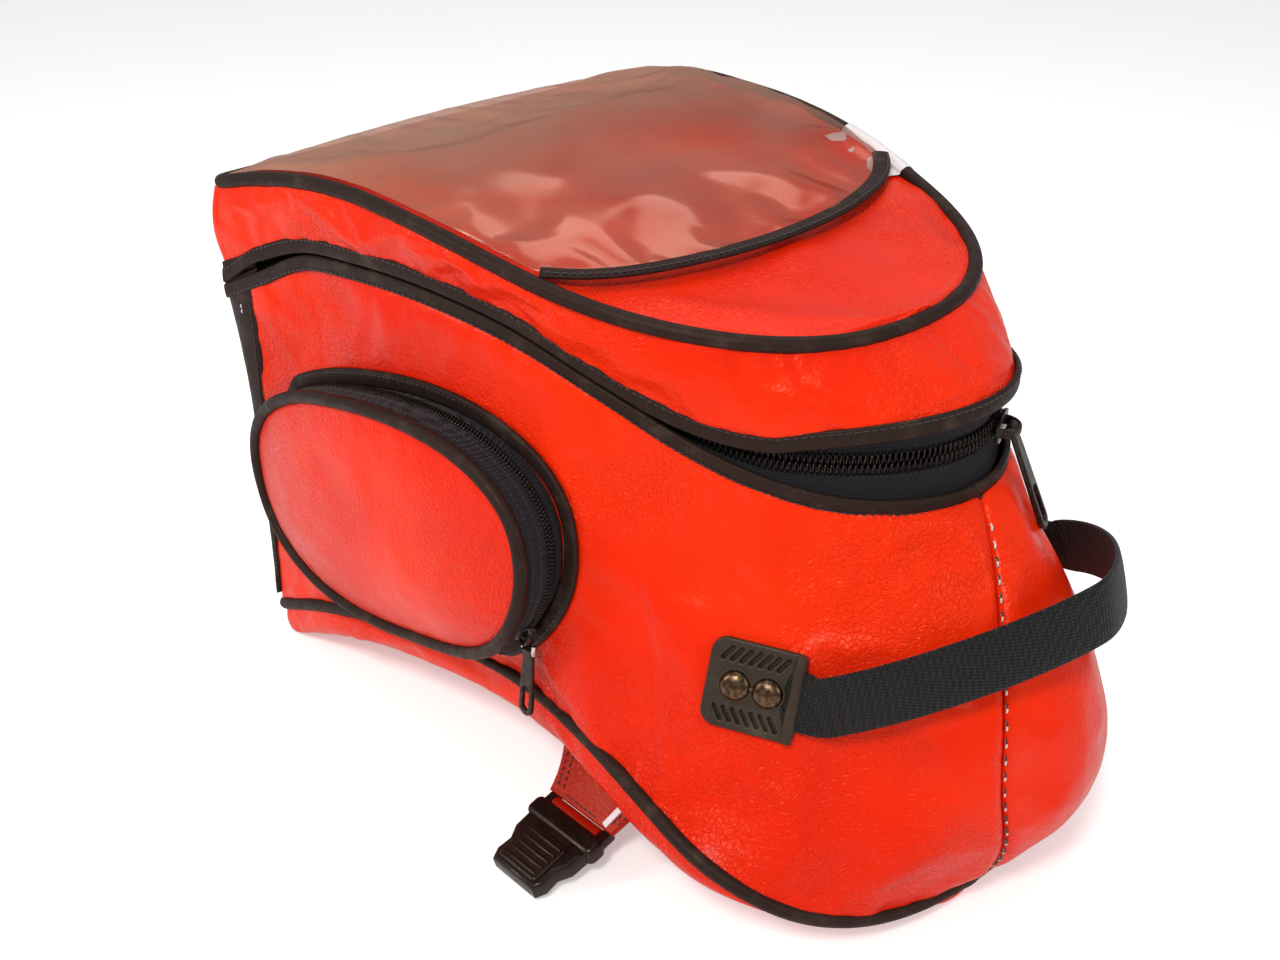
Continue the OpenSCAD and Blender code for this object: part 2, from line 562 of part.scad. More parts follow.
function power(t, e) = sign(t) * abs(t)^e;
function pocket_xz(a, grow) =
    let (e = 2 / pocket_round, u = (pocket_a + grow) * power(cos(a), e), v = (pocket_b + grow) * power(sin(a), e))
    [pocket_x + u * cos(pocket_tilt) - v * sin(pocket_tilt), pocket_z + u * sin(pocket_tilt) + v * cos(pocket_tilt)];
function across_flap(q) = (q.x - end_x) * lean_x + (q.y - 24) * lean_z;
function stand_off(q) = lerp(shallow, pocket_depth, ease((across_flap(q) - 60) / 170));
// Point round the pocket: grow outwards, a share of the stand-off, and a plain lift
function pocket_at(a, grow, share, lift = 0) =
    let (q = pocket_xz(a, grow), e = pocket_xz(a, 0)) [q.x, wall_y(q.x, q.y) + stand_off(e) * share + lift, q.y];
function arc_angles(n) = [for (k = [0:n]) lerp(zip_from, zip_to, k / n)];
// Strip that follows the pocket's zip, between two growths and two heights [share, lift]
module pocket_strip(g0, g1, low, high)
    loft([for (a = arc_angles(34)) [
        pocket_at(a, g0, low[0], low[1]), pocket_at(a, g1, low[0], low[1]),
        pocket_at(a, g1, high[0], high[1]), pocket_at(a, g0, high[0], high[1])]]);

wall_share = 0.36;
module pocket_binding() color(TRIM) pocket_strip(1.6, 8, [0, 0.9], [0, 3.2]);
module pocket_gusset() color(TRIM) pocket_strip(-0.7, 0.7, [0, 0.9], [wall_share, -0.3]);
module pocket_teeth() color(TRIM) pocket_strip(-1.2, 1.2, [wall_share, 0], [wall_share, 1.6]);
// The flap's row of teeth and the band that joins it to the piping
module pocket_flap_teeth() color(TRIM) {
    teeth_w = 1.2;
    band_w = 0.7;
    loft([for (a = arc_angles(34))
        [for (s = [[-1, teeth_w, 0, 2.6], [1, teeth_w, 0, 2.6], [1, teeth_w, 0, 4.2], [1, band_w, 0, 4.2],
                   [1, band_w, 1, 0], [-1, band_w, 1, 0], [-1, band_w, 0, 4.2], [-1, teeth_w, 0, 4.2]])
            pocket_at(a, s[0] * s[1], s[2] == 1 ? 1 : wall_share, s[2] == 1 ? -pocket_cord_r - 0.4 : s[3])]]);
}
module pocket_piping() color(TRIM) cord_y(
    [for (k = [0:pocket_steps - 1]) pocket_at(360 * k / pocket_steps, 0, 1)], pocket_cord_r);
// Closed cord that lies in a plane facing Y
module cord_y(path, r) {
    n = len(path);
    loft([for (i = [0:n - 1]) let (d = unit(path[(i + 1) % n] - path[(i + n - 1) % n]),
                                   out = unit(cross([0, 1, 0], d)), up = cross(d, out))
        [for (k = [0:7]) path[i] + r * (out * cos(45 * k) + up * sin(45 * k))]], closed = true);
}
pocket_mid_y = wall_y(pocket_x, pocket_z) + lerp(shallow, pocket_depth, 0.5);
function panel_ring(w, depth) =
    [for (k = [0:pocket_steps - 1]) let (rim = pocket_at(360 * k / pocket_steps, -pocket_cord_r - 0.5, 1))
        [lerp(pocket_x, rim.x, w), lerp(pocket_mid_y, rim.y, w * w) + pocket_swell * (1 - w * w) - depth,
         lerp(pocket_z, rim.z, w)]];
panel_rings = [0.06, 0.3, 0.55, 0.75, 0.9, 1];
module pocket_panel() color(RED) loft(concat(
    [for (w = panel_rings) panel_ring(w, 0)],
    [for (w = reverse(panel_rings)) panel_ring(w == 1 ? 0.99 : w, skin_t)]));

// The slider's own short arc is a true circle through three points of the zip
slider_a = -36;
slider_swing = 11;
function zip_line_at(a) = pocket_at(a, 0, wall_share, 2.1);
ps = zip_line_at(slider_a);
pa = zip_line_at(slider_a - slider_swing);
pb = zip_line_at(slider_a + slider_swing);
ps_n = unit(cross(pb - ps, pa - ps));
ps_t = unit(pb - pa);
ps_out = unit(cross(ps_t, [0, sign(ps_n.y), 0]));
ps_across = cross(ps_t, ps_out);
block_d = 5.6;
function pocket_pull_p() = ps + ps_out * block_d + [0, 0, -4.8];
module pocket_slider() color(PLASTIC) {
    lug_x = 3;                      // two lugs with the pull's pin between them
    lug_t = 1.4;
    multmatrix([[ps_t.x, ps_out.x, ps_across.x, ps.x],
                [ps_t.y, ps_out.y, ps_across.y, ps.y],
                [ps_t.z, ps_out.z, ps_across.z, ps.z]]) {
        // Outer wing, inner wing and the blade between the two rows of teeth
        translate([-4.5, 2, -3]) cube([9, 1.6, 6]);
        translate([-4.5, -3.4, -3]) cube([9, 1.4, 6]);
        translate([-4.5, -2.6, -0.15]) cube([1.6, 5.4, 0.3]);
        translate([-1.6, 3, -1.6]) cube([3.2, block_d - 2.2, 3.2]);
    }
    translate(pocket_pull_p()) {
        for (s = [-1, 1]) translate([s * lug_x - lug_t / 2, -1.8, -1.8]) cube([lug_t, 3.6, 5.8]);
        translate([-lug_x - lug_t / 2, -1.8, 2.7]) cube([2 * lug_x + lug_t, 3.6, 2.4]);
        translate([-lug_x, 0, 0]) rotate([0, 90, 0]) cylinder(r = pin_r, h = 2 * lug_x);
    }
}
module pocket_pull() translate(pocket_pull_p()) rotate([6, 0, 0]) zip_pull(30, 7, 1.8, 4.2);

// ---- strap tabs and buckles ----
tab_x = 55;
tab_y = 104;
tab_z = 42;
tab_fall = 48;                      // slope of the tab at rest
buckle_fall = 14;                   // slope of the buckle at rest
tab_t = 3.2;
eye_r = 4.2;
bar_r = 2;
bar_play = 0.07;
module at_tab() translate([tab_x, tab_y, tab_z]) rotate([-tab_fall, 0, 0]) children();
module strap_tab() color(RED) at_tab() {
    rotate([0, 90, 0]) cylinder(r = tab_t / 2, h = 62, center = true);
    translate([0, 0, -tab_t / 2]) linear_extrude(height = tab_t) difference() {
        polygon([[-31, 0], [31, 0], [19, tab_l - 11], [15, tab_l - 6.5], [15, tab_l - 3],
                 [-15, tab_l - 3], [-15, tab_l - 6.5], [-19, tab_l - 11]]);
        translate([-43, tab_l - 8]) circle(r = 24);
    }
    translate([0, tab_l, 0]) rotate([0, 90, 0]) difference() {
        cylinder(r = eye_r, h = 30, center = true);
        cylinder(r = bar_r + bar_play, h = 34, center = true);
    }
}
module at_buckle() at_tab() translate([0, tab_l, 0]) rotate([tab_fall - buckle_fall, 0, 0]) children();
arm_in = 15.6;
housing_y = 6.6;
housing_t = 11;
socket_w = 26;
socket_t = 5.6;
socket_l = 22;
module buckle() color(PLASTIC) at_buckle() {
    difference() {
        union() {
            translate([-buckle_w / 2, housing_y, -housing_t / 2]) cube([buckle_w, buckle_l - housing_y, housing_t]);
            for (s = [-1, 1]) translate([s > 0 ? arm_in : -buckle_w / 2, -4.5, -4])
                cube([buckle_w / 2 - arm_in, housing_y + 6, 8]);
            for (k = [0:4]) translate([-12, housing_y + 4 + 5 * k, housing_t / 2]) cube([24, 2, 0.9]);
        }
        translate([-socket_w / 2, buckle_l - socket_l, -socket_t / 2]) cube([socket_w, socket_l + 1, socket_t]);
        for (s = [-1, 1]) translate([s > 0 ? socket_w / 2 - 1 : -buckle_w / 2 - 1, buckle_l - 18, -socket_t / 2])
            cube([buckle_w / 2 - socket_w / 2 + 2, 11, socket_t]);
    }
    rotate([0, 90, 0]) cylinder(r = bar_r, h = 2 * arm_in + 2, center = true);
}

on_left() side_panel();  // side_panel_left
side_panel();  // side_panel_right
front_panel();
foot_strip();
on_left() corner_band();  // corner_band_left
corner_band();  // corner_band_right
nose_seam_tape();
base_panel();
base_board();
base_piping();
lower_zip_binding();
lower_zip_tape();
lower_zip_teeth();
on_left() handle_plate();  // handle_plate_left
handle_plate();  // handle_plate_right
handle_rivets();
top_panel();
lid_gusset();
lid_front_strip();
lid_hinge_panel();
lid_board();
top_piping();
map_window();
window_binding();
window_tab();
upper_zip_binding();
upper_zip_tape();
upper_zip_teeth();
main_slider();
main_pull_tab();
handle_strap();
on_left() pocket_gusset();  // pocket_gusset_left
pocket_gusset();  // pocket_gusset_right
on_left() pocket_binding();  // pocket_binding_left
pocket_binding();  // pocket_binding_right
on_left() pocket_teeth();  // pocket_teeth_left
pocket_teeth();  // pocket_teeth_right
on_left() pocket_panel();  // pocket_panel_left
pocket_panel();  // pocket_panel_right
on_left() pocket_piping();  // pocket_piping_left
pocket_piping();  // pocket_piping_right
on_left() pocket_flap_teeth();  // pocket_flap_teeth_left
pocket_flap_teeth();  // pocket_flap_teeth_right
on_left() pocket_slider();  // pocket_slider_left
pocket_slider();  // pocket_slider_right
on_left() pocket_pull();  // pocket_pull_left
pocket_pull();  // pocket_pull_right
on_left() strap_tab();  // strap_tab_left
strap_tab();  // strap_tab_right
on_left() buckle();  // buckle_left
buckle();  // buckle_right
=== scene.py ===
"""Looks of a soft motorcycle tank bag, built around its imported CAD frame.

Lengths are in millimetres in the CAD frame (X towards the nose, Z up, the rider's left at -Y)
and turn into metres only when a mesh is made.  A place round the bag is counted in 72 steps:
0 is the right corner of the flat end, 36 the middle of the nose, 72 the left corner.
"""

import json
import math

import bpy
import bmesh
import numpy as np
from mathutils import Matrix, Vector, noise


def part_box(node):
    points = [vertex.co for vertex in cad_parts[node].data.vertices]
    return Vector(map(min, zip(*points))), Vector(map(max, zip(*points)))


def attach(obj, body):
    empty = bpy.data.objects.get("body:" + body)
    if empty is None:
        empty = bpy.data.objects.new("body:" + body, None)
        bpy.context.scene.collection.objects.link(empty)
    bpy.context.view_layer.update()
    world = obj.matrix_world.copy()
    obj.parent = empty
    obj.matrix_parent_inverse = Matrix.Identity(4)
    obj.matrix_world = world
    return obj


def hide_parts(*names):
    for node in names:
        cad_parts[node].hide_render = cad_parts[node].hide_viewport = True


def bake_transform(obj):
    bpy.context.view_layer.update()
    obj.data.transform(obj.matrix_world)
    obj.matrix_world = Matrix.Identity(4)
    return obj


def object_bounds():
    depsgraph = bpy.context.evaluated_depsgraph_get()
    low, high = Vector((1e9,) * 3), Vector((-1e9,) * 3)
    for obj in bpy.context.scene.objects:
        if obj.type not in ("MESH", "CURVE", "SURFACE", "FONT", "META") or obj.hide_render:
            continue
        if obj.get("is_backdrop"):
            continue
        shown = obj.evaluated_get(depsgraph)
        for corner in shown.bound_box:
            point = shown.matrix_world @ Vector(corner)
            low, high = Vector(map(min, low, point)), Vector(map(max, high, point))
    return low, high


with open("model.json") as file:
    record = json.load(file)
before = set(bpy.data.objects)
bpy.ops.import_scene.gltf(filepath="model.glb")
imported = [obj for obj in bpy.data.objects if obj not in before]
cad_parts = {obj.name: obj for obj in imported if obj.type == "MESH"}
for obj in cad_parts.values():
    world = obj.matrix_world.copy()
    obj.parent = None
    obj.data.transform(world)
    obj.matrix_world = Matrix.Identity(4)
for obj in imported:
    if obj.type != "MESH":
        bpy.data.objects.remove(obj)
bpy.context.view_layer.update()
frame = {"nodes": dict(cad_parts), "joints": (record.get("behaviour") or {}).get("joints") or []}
scene = bpy.context.scene
scene.view_settings.view_transform = "Standard"
MM = 0.001
NOSE = 36.0
SIDES = {"right": 1.0, "left": -1.0}


# ---- outlines of the bag, as the CAD draws them ----
def hermite(stations, x):
    st = np.array(stations, float)
    xs, ys = st[:, 0], st[:, 1]
    slopes = np.gradient(ys, xs)
    slopes[1:-1] = (ys[2:] - ys[:-2]) / (xs[2:] - xs[:-2])
    i = np.clip(np.searchsorted(xs, x) - 1, 0, len(xs) - 2)
    h = xs[i + 1] - xs[i]
    t = (x - xs[i]) / h
    return ((2 * t**3 - 3 * t**2 + 1) * ys[i] + (t**3 - 2 * t**2 + t) * h * slopes[i]
            + (3 * t**2 - 2 * t**3) * ys[i + 1] + (t**3 - t**2) * h * slopes[i + 1])


def half_line(start, length, straight, half_w, roundness, flare, waist, stations):
    """Half an outline from the flat end's right corner to the nose, in even steps."""
    t = np.linspace(0, 1, 500)
    a = np.linspace(0, math.pi / 2, 1400)[1:]
    x = np.r_[start + straight * t, start + straight + (length - straight) * np.sin(a) ** (2 / roundness)]
    y = np.r_[half_w * (1 + flare * (1 - t)), half_w * np.clip(np.cos(a), 0, 1) ** (2 / roundness)]
    y = np.maximum(y - waist * np.exp(-(((x - 5) / 80) ** 2)) * (x < start + straight + 60), 0)
    run = np.r_[0, np.cumsum(np.hypot(np.diff(x), np.diff(y)))]
    s = np.linspace(0, run[-1], 1441)
    x, y = np.interp(s, run, x), np.interp(s, run, y)
    return np.stack([x, y, hermite(stations, (x - start) / length)], -1)


UP = np.array([0, 0, 1.0])
END_X = -185.0
TOP = half_line(END_X, 307, 99, 120, 2.39, 0.10, 0,
                [(0, 250), (0.12, 259.9), (0.27, 266), (0.5, 263), (0.75, 249), (1, 239)])
UPPER = half_line(END_X, 342, 60, 122, 2, 0.09, 0,
                  [(0, 210), (0.08, 222), (0.155, 232), (0.235, 237), (0.39, 240), (0.54, 234.5),
                   (0.66, 220), (0.763, 208), (0.845, 204), (0.9, 208), (1, 215)])
LOWER = half_line(END_X, 342, 60, 122, 2, 0.09, 0,
                  [(0, 196), (0.08, 210), (0.155, 223), (0.235, 229), (0.39, 232.5), (0.54, 227),
                   (0.66, 213), (0.763, 197), (0.845, 186), (0.92, 179.5), (1, 177)])
SWELL = half_line(END_X + 4, 403, 217, 130.5, 1.74, 0, 5.8, [(0, 101), (0.4, 93), (0.7, 80), (1, 65)])
BASE = half_line(END_X + 4.5, 373.5, 294, 132.6, 2.39, 0, 11.6,
                 [(0, 16), (0.107, 35), (0.213, 49), (0.32, 59), (0.427, 64), (0.534, 66),
                  (0.64, 64), (0.748, 57), (0.869, 41), (0.94, 24), (1, 9)])
MID_LEVEL = 0.62


def unit(v):
    return v / np.maximum(np.linalg.norm(v, axis=-1, keepdims=True), 1e-9)


def signed_power(v, power):
    return np.sign(v) * np.abs(v) ** power


def run_of(path):
    """Distance along a path at each of its points."""
    return np.r_[0, np.cumsum(np.linalg.norm(np.diff(path, axis=0), axis=1))]


def along_run(s, run, values):
    """Points or directions read off at distances s along a path."""
    return np.stack([np.interp(s, run, values[:, k]) for k in range(3)], -1)


def at(line, c):
    c = np.asarray(c, float)
    q = np.clip(np.where(c > NOSE, 2 * NOSE - c, c), 0, NOSE) / NOSE * (len(line) - 1)
    i = np.minimum(q.astype(int), len(line) - 2)
    f = (q - i)[..., None]
    p = line[i] * (1 - f) + line[i + 1] * f
    p[..., 1] *= np.where(c > NOSE, -1, 1)
    return p


def outward(line, c):
    d = at(line, c + 0.3) - at(line, c - 0.3)
    return unit(np.stack([-d[..., 1], d[..., 0], 0 * d[..., 0]], -1))


def side_at(c, v):
    """The bag's side: v runs from the zip (0) down to the base piping (1)."""
    c, v = np.broadcast_arrays(np.asarray(c, float), np.asarray(v, float))
    k, w = MID_LEVEL, v[..., None]
    return (at(LOWER, c) * (w - k) * (w - 1) / k + at(SWELL, c) * w * (w - 1) / (k * (k - 1))
            + at(BASE, c) * w * (w - k) / (1 - k))


def side_normal(c, v):
    c, v = np.broadcast_arrays(np.asarray(c, float), np.asarray(v, float))
    along = side_at(np.minimum(c + 0.4, 72), v) - side_at(np.maximum(c - 0.4, 0), v)
    down = side_at(c, np.minimum(v + 0.02, 1)) - side_at(c, np.maximum(v - 0.02, 0))
    return unit(np.cross(along, down))


def lid_side_at(c, v):
    """The lid's side: v runs from the zip (0) up to the top piping (1)."""
    w = np.asarray(v, float)[..., None]
    return at(UPPER, c) * (1 - w) + at(TOP, c) * w + outward(UPPER, c) * 4 * np.sin(math.pi * w)


CROWN = 5.0


def lid_top_at(x, w, lift=0.0):
    """The lid's top at a place along it and a share w of its half width."""
    half = np.interp(x, TOP[:, 0], TOP[:, 1])
    z = np.interp(x, TOP[:, 0], TOP[:, 2]) + CROWN * (1 - w * w) + lift
    return np.stack([x + 0 * w, w * half, z], -1)


def ease(t):
    t = np.clip(t, 0, 1)
    return t * t * (3 - 2 * t)


def ruffle(points, size, seed=0.0):
    """Smooth noise between -1 and 1 whose bumps are about size millimetres wide."""
    flat = points.reshape(-1, 3) / size
    out = [noise.noise(Vector((p[0] + seed, p[1] - seed, p[2] + 2 * seed))) for p in flat]
    return np.array(out).reshape(points.shape[:-1])


# ---- meshes ----
class Shape:
    """Points in millimetres and the faces between them, with a material number for each face."""

    def __init__(self, points, faces, material=0):
        self.points = np.asarray(points, float).reshape(-1, 3)
        self.faces = [tuple(f) for f in faces]
        self.materials = material if isinstance(material, list) else [material] * len(self.faces)

    def moved(self, matrix):
        m = np.array(matrix, float)
        return Shape(self.points @ m[:3, :3].T + m[:3, 3], self.faces, self.materials)

    def on_side(self, sign):
        return Shape(self.points * [1, sign, 1], self.faces, self.materials)


def join(shapes):
    points, faces, materials, base = [], [], [], 0
    for s in shapes:
        points.append(s.points)
        faces += [tuple(i + base for i in f) for f in s.faces]
        materials += s.materials
        base += len(s.points)
    return Shape(np.concatenate(points), faces, materials)


def piece(name, shape, body, materials, nodes=(), smooth=0, flat_angle=None):
    """Makes a Blender piece from a Shape; body is a name to attach it to, or a tuple (a, b, start, end),
    which leaves it unattached in place.
    """
    data = bpy.data.meshes.new(name)
    data.from_pydata((shape.points * MM).tolist(), [], shape.faces)
    for m in materials:
        data.materials.append(m)
    data.polygons.foreach_set("material_index", shape.materials)
    data.polygons.foreach_set("use_smooth", [True] * len(shape.faces))
    b = bmesh.new()
    b.from_mesh(data)
    bmesh.ops.recalc_face_normals(b, faces=b.faces)
    b.to_mesh(data)
    b.free()
    obj = bpy.data.objects.new(name, data)
    scene.collection.objects.link(obj)
    if flat_angle is not None:
        data.set_sharp_from_angle(angle=math.radians(flat_angle))
    if smooth:
        obj.modifiers.new("Smooth", "SUBSURF").levels = smooth
        obj.modifiers["Smooth"].render_levels = smooth
    if isinstance(body, str):
        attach(obj, body)
    else:
        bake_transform(obj)
    if nodes:
        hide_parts(*nodes)
    return obj


def painted(shape, slot):
    """Gives every face of a shape one of its piece's materials."""
    shape.materials = [slot] * len(shape.faces)
    return shape


def joint_pos(name):
    """A joint's place in metres."""
    return np.array(next(j["pos_m"] for j in frame["joints"] if j["name"] == name))


def end_caps(rings, points):
    """Faces that close the first and last ring of an open tube."""
    return [tuple(range(points)), tuple((rings - 1) * points + j for j in reversed(range(points)))]


def grid_faces(rows, cols, base=0, closed=False):
    last = cols if closed else cols - 1
    return [(base + r * cols + c, base + r * cols + (c + 1) % cols,
             base + (r + 1) * cols + (c + 1) % cols, base + (r + 1) * cols + c)
            for r in range(rows - 1) for c in range(last)]


def skin(outer, normals, thickness, inner_material=1):
    """Closed sheet under a grid of outer points; its inner face takes the second material."""
    rows, cols = outer.shape[:2]
    n = rows * cols
    inner = outer - normals * thickness
    front = grid_faces(rows, cols)
    back = [tuple(i + n for i in reversed(f)) for f in front]
    rim = ([c for c in range(cols)] + [r * cols + cols - 1 for r in range(1, rows)]
           + [(rows - 1) * cols + c for c in range(cols - 2, -1, -1)]
           + [r * cols for r in range(rows - 2, 0, -1)])
    edge = [(rim[i], rim[(i + 1) % len(rim)], rim[(i + 1) % len(rim)] + n, rim[i] + n)
            for i in range(len(rim))]
    return Shape(np.concatenate([outer.reshape(-1, 3), inner.reshape(-1, 3)]), front + back + edge,
                 [0] * len(front) + [inner_material] * len(back) + [0] * len(edge))


def grid_normals(grid, hint):
    """Normals of a grid of points, on the side that the hint directions show."""
    n = unit(np.cross(np.gradient(grid, axis=0), np.gradient(grid, axis=1)))
    return n * np.sign((n * hint).sum(-1, keepdims=True) + 1e-9)


def sweep(path, out, section, closed=False, scale=None):
    """Solid along a path; the section's points are (across, out) offsets."""
    path = np.asarray(path, float)
    step = (np.roll(path, -1, 0) - np.roll(path, 1, 0)) if closed else np.gradient(path, axis=0)
    tangent = unit(step)
    out = np.broadcast_to(np.asarray(out, float), path.shape)
    across = unit(np.cross(tangent, out))
    out = np.cross(across, tangent)
    section = np.asarray(section, float)
    size = np.ones(len(path)) if scale is None else np.asarray(scale, float)
    rings = (path[:, None] + across[:, None] * (section[None, :, 0] * size[:, None])[..., None]
             + out[:, None] * (section[None, :, 1] * size[:, None])[..., None])
    n, k = rings.shape[:2]
    faces = grid_faces(n, k, closed=True)
    if closed:
        faces += [((n - 1) * k + j, (n - 1) * k + (j + 1) % k, (j + 1) % k, j) for j in range(k)]
    else:
        faces += end_caps(n, k)
    return Shape(rings, faces)


def ring(radius, sides=14, squash=1.0):
    a = np.linspace(0, 2 * math.pi, sides, endpoint=False)
    return np.stack([radius * np.cos(a), radius * squash * np.sin(a)], -1)


def band(half_width, half_thick, shift=0.0, taper=1.0, sides=20, power=3.2):
    """Section of a folded tape; its far edge (+) is taper times as thick as its fold (-)."""
    a = np.linspace(0, 2 * math.pi, sides, endpoint=False)
    e = 2 / power
    x, y = signed_power(np.cos(a), e), signed_power(np.sin(a), e)
    thin = 1 + (taper - 1) * (x + 1) / 2
    return np.stack([shift + half_width * x, half_thick * y * thin], -1)


def rounded_loop(points, corner, passes):
    """Evens out a closed path and rounds its corners."""
    p = np.asarray(points, float)
    run = run_of(np.vstack([p, p[:1]]))
    s = np.linspace(0, run[-1], int(run[-1] / corner), endpoint=False)
    q = along_run(s, run, np.vstack([p, p[:1]]))
    for _ in range(passes):
        q = q * 0.5 + (np.roll(q, 1, 0) + np.roll(q, -1, 0)) * 0.25
    return q


def stitches(path, out, pitch, length, radius, sink=0.35):
    """A row of stitches along a path, each a short thread that dips into the surface at its ends."""
    path = np.asarray(path, float)
    run = run_of(path)
    out = np.broadcast_to(np.asarray(out, float), path.shape)
    parts = []
    for m in np.arange(pitch, run[-1] - pitch, pitch):
        n = unit(along_run(m, run, out))
        arch = ((-0.5, -sink - radius), (-0.42, 0.0), (0, radius * 0.8), (0.42, 0.0), (0.5, -sink - radius))
        spots = [along_run(m + f * length, run, path) + n * h for f, h in arch]
        parts.append(sweep(spots, n, ring(radius, 6), scale=[0.7, 1, 1.1, 1, 0.7]))
    return join(parts)


def lathe(profile, sides=32):
    """Solid turned about Z from (radius, height) points that start and end on the axis."""
    a = np.linspace(0, 2 * math.pi, sides, endpoint=False)
    rings = [[(r * math.cos(t), r * math.sin(t), z) for t in a] for r, z in profile[1:-1]]
    n = len(rings)
    points = [p for r in rings for p in r] + [(0, 0, profile[0][1]), (0, 0, profile[-1][1])]
    faces = grid_faces(n, sides, closed=True)
    faces += [(n * sides, (j + 1) % sides, j) for j in range(sides)]
    faces += [(n * sides + 1, (n - 1) * sides + j, (n - 1) * sides + (j + 1) % sides) for j in range(sides)]
    return Shape(points, faces)


def cut_plate(outlines, thickness, bevel):
    """Flat plate in XY, centred on Z 0: the first outline is its edge, the others are holes through it."""
    curve = bpy.data.curves.new("plate", "CURVE")
    curve.dimensions, curve.fill_mode = "2D", "BOTH"
    curve.extrude, curve.bevel_depth, curve.bevel_resolution = thickness / 2 - bevel, bevel, 2
    curve.offset = -bevel
    for outline in outlines:
        spline = curve.splines.new("POLY")
        spline.points.add(len(outline) - 1)
        for point, (x, y) in zip(spline.points, outline):
            point.co = (x, y, 0, 1)
        spline.use_cyclic_u = True
    obj = bpy.data.objects.new("plate", curve)
    scene.collection.objects.link(obj)
    flat = bpy.data.meshes.new_from_object(obj.evaluated_get(bpy.context.evaluated_depsgraph_get()))
    shape = Shape([v.co[:] for v in flat.vertices], [p.vertices[:] for p in flat.polygons])
    bpy.data.objects.remove(obj)
    bpy.data.curves.remove(curve)
    bpy.data.meshes.remove(flat)
    return shape


def rounded_box(w, h, radii, cx=0.0, cy=0.0, steps=6):
    """Outline of a rectangle with a radius for each corner, counter-clockwise from its lower left."""
    out = []
    corners = [(-w / 2, -h / 2, 180), (w / 2, -h / 2, 270), (w / 2, h / 2, 0), (-w / 2, h / 2, 90)]
    for (x, y, start), r in zip(corners, radii):
        ox, oy = x - math.copysign(r, x), y - math.copysign(r, y)
        for k in range(steps + 1):
            a = math.radians(start + 90 * k / steps)
            out.append((cx + ox + r * math.cos(a), cy + oy + r * math.sin(a)))
    return out


def slanted(outline, angle, cx, cy):
    c, s = math.cos(math.radians(angle)), math.sin(math.radians(angle))
    return [(cx + x * c - y * s, cy + x * s + y * c) for x, y in outline]


# ---- cloth ----
def settle(grid, pinned, grow, pressure, cap, frames=22, bending=0.6, flip=False):
    """Lets a sewn panel settle as cloth held at its pinned points, a little larger than its frame."""
    rows, cols = grid.shape[:2]
    faces = grid_faces(rows, cols)
    data = bpy.data.meshes.new("cloth")
    data.from_pydata((grid.reshape(-1, 3) * MM).tolist(), [],
                     [tuple(reversed(f)) for f in faces] if flip else faces)
    obj = bpy.data.objects.new("cloth", data)
    scene.collection.objects.link(obj)
    group = obj.vertex_groups.new(name="seam")
    for i, w in enumerate(pinned.ravel()):
        if w > 0:
            group.add([i], float(w), "REPLACE")
    modifier = obj.modifiers.new("Cloth", "CLOTH")
    s = modifier.settings
    s.quality, s.mass, s.air_damping = 6, 0.3, 2.0
    s.tension_stiffness = s.compression_stiffness = 15
    s.shear_stiffness, s.bending_stiffness = 5, bending
    s.vertex_group_mass = "seam"
    s.shrink_min = -grow
    s.use_pressure = pressure > 0
    s.uniform_pressure_force = pressure
    s.effector_weights.gravity = 0
    modifier.collision_settings.use_collision = False
    modifier.point_cache.frame_start, modifier.point_cache.frame_end = 1, frames
    for f in range(1, frames + 1):
        scene.frame_set(f)
    result = obj.evaluated_get(bpy.context.evaluated_depsgraph_get())
    co = np.zeros(len(data.vertices) * 3)
    result.data.vertices.foreach_get("co", co)
    scene.frame_set(1)
    bpy.data.objects.remove(obj)
    bpy.data.meshes.remove(data)
    move = co.reshape(grid.shape) / MM - grid
    length = np.linalg.norm(move, axis=-1, keepdims=True)
    return grid + move * np.minimum(1, cap / np.maximum(length, 1e-6))


def edge_pins(rows, cols, width=1):
    pins = np.zeros((rows, cols))
    pins[:width], pins[-width:], pins[:, :width], pins[:, -width:] = 1, 1, 1, 1
    return pins


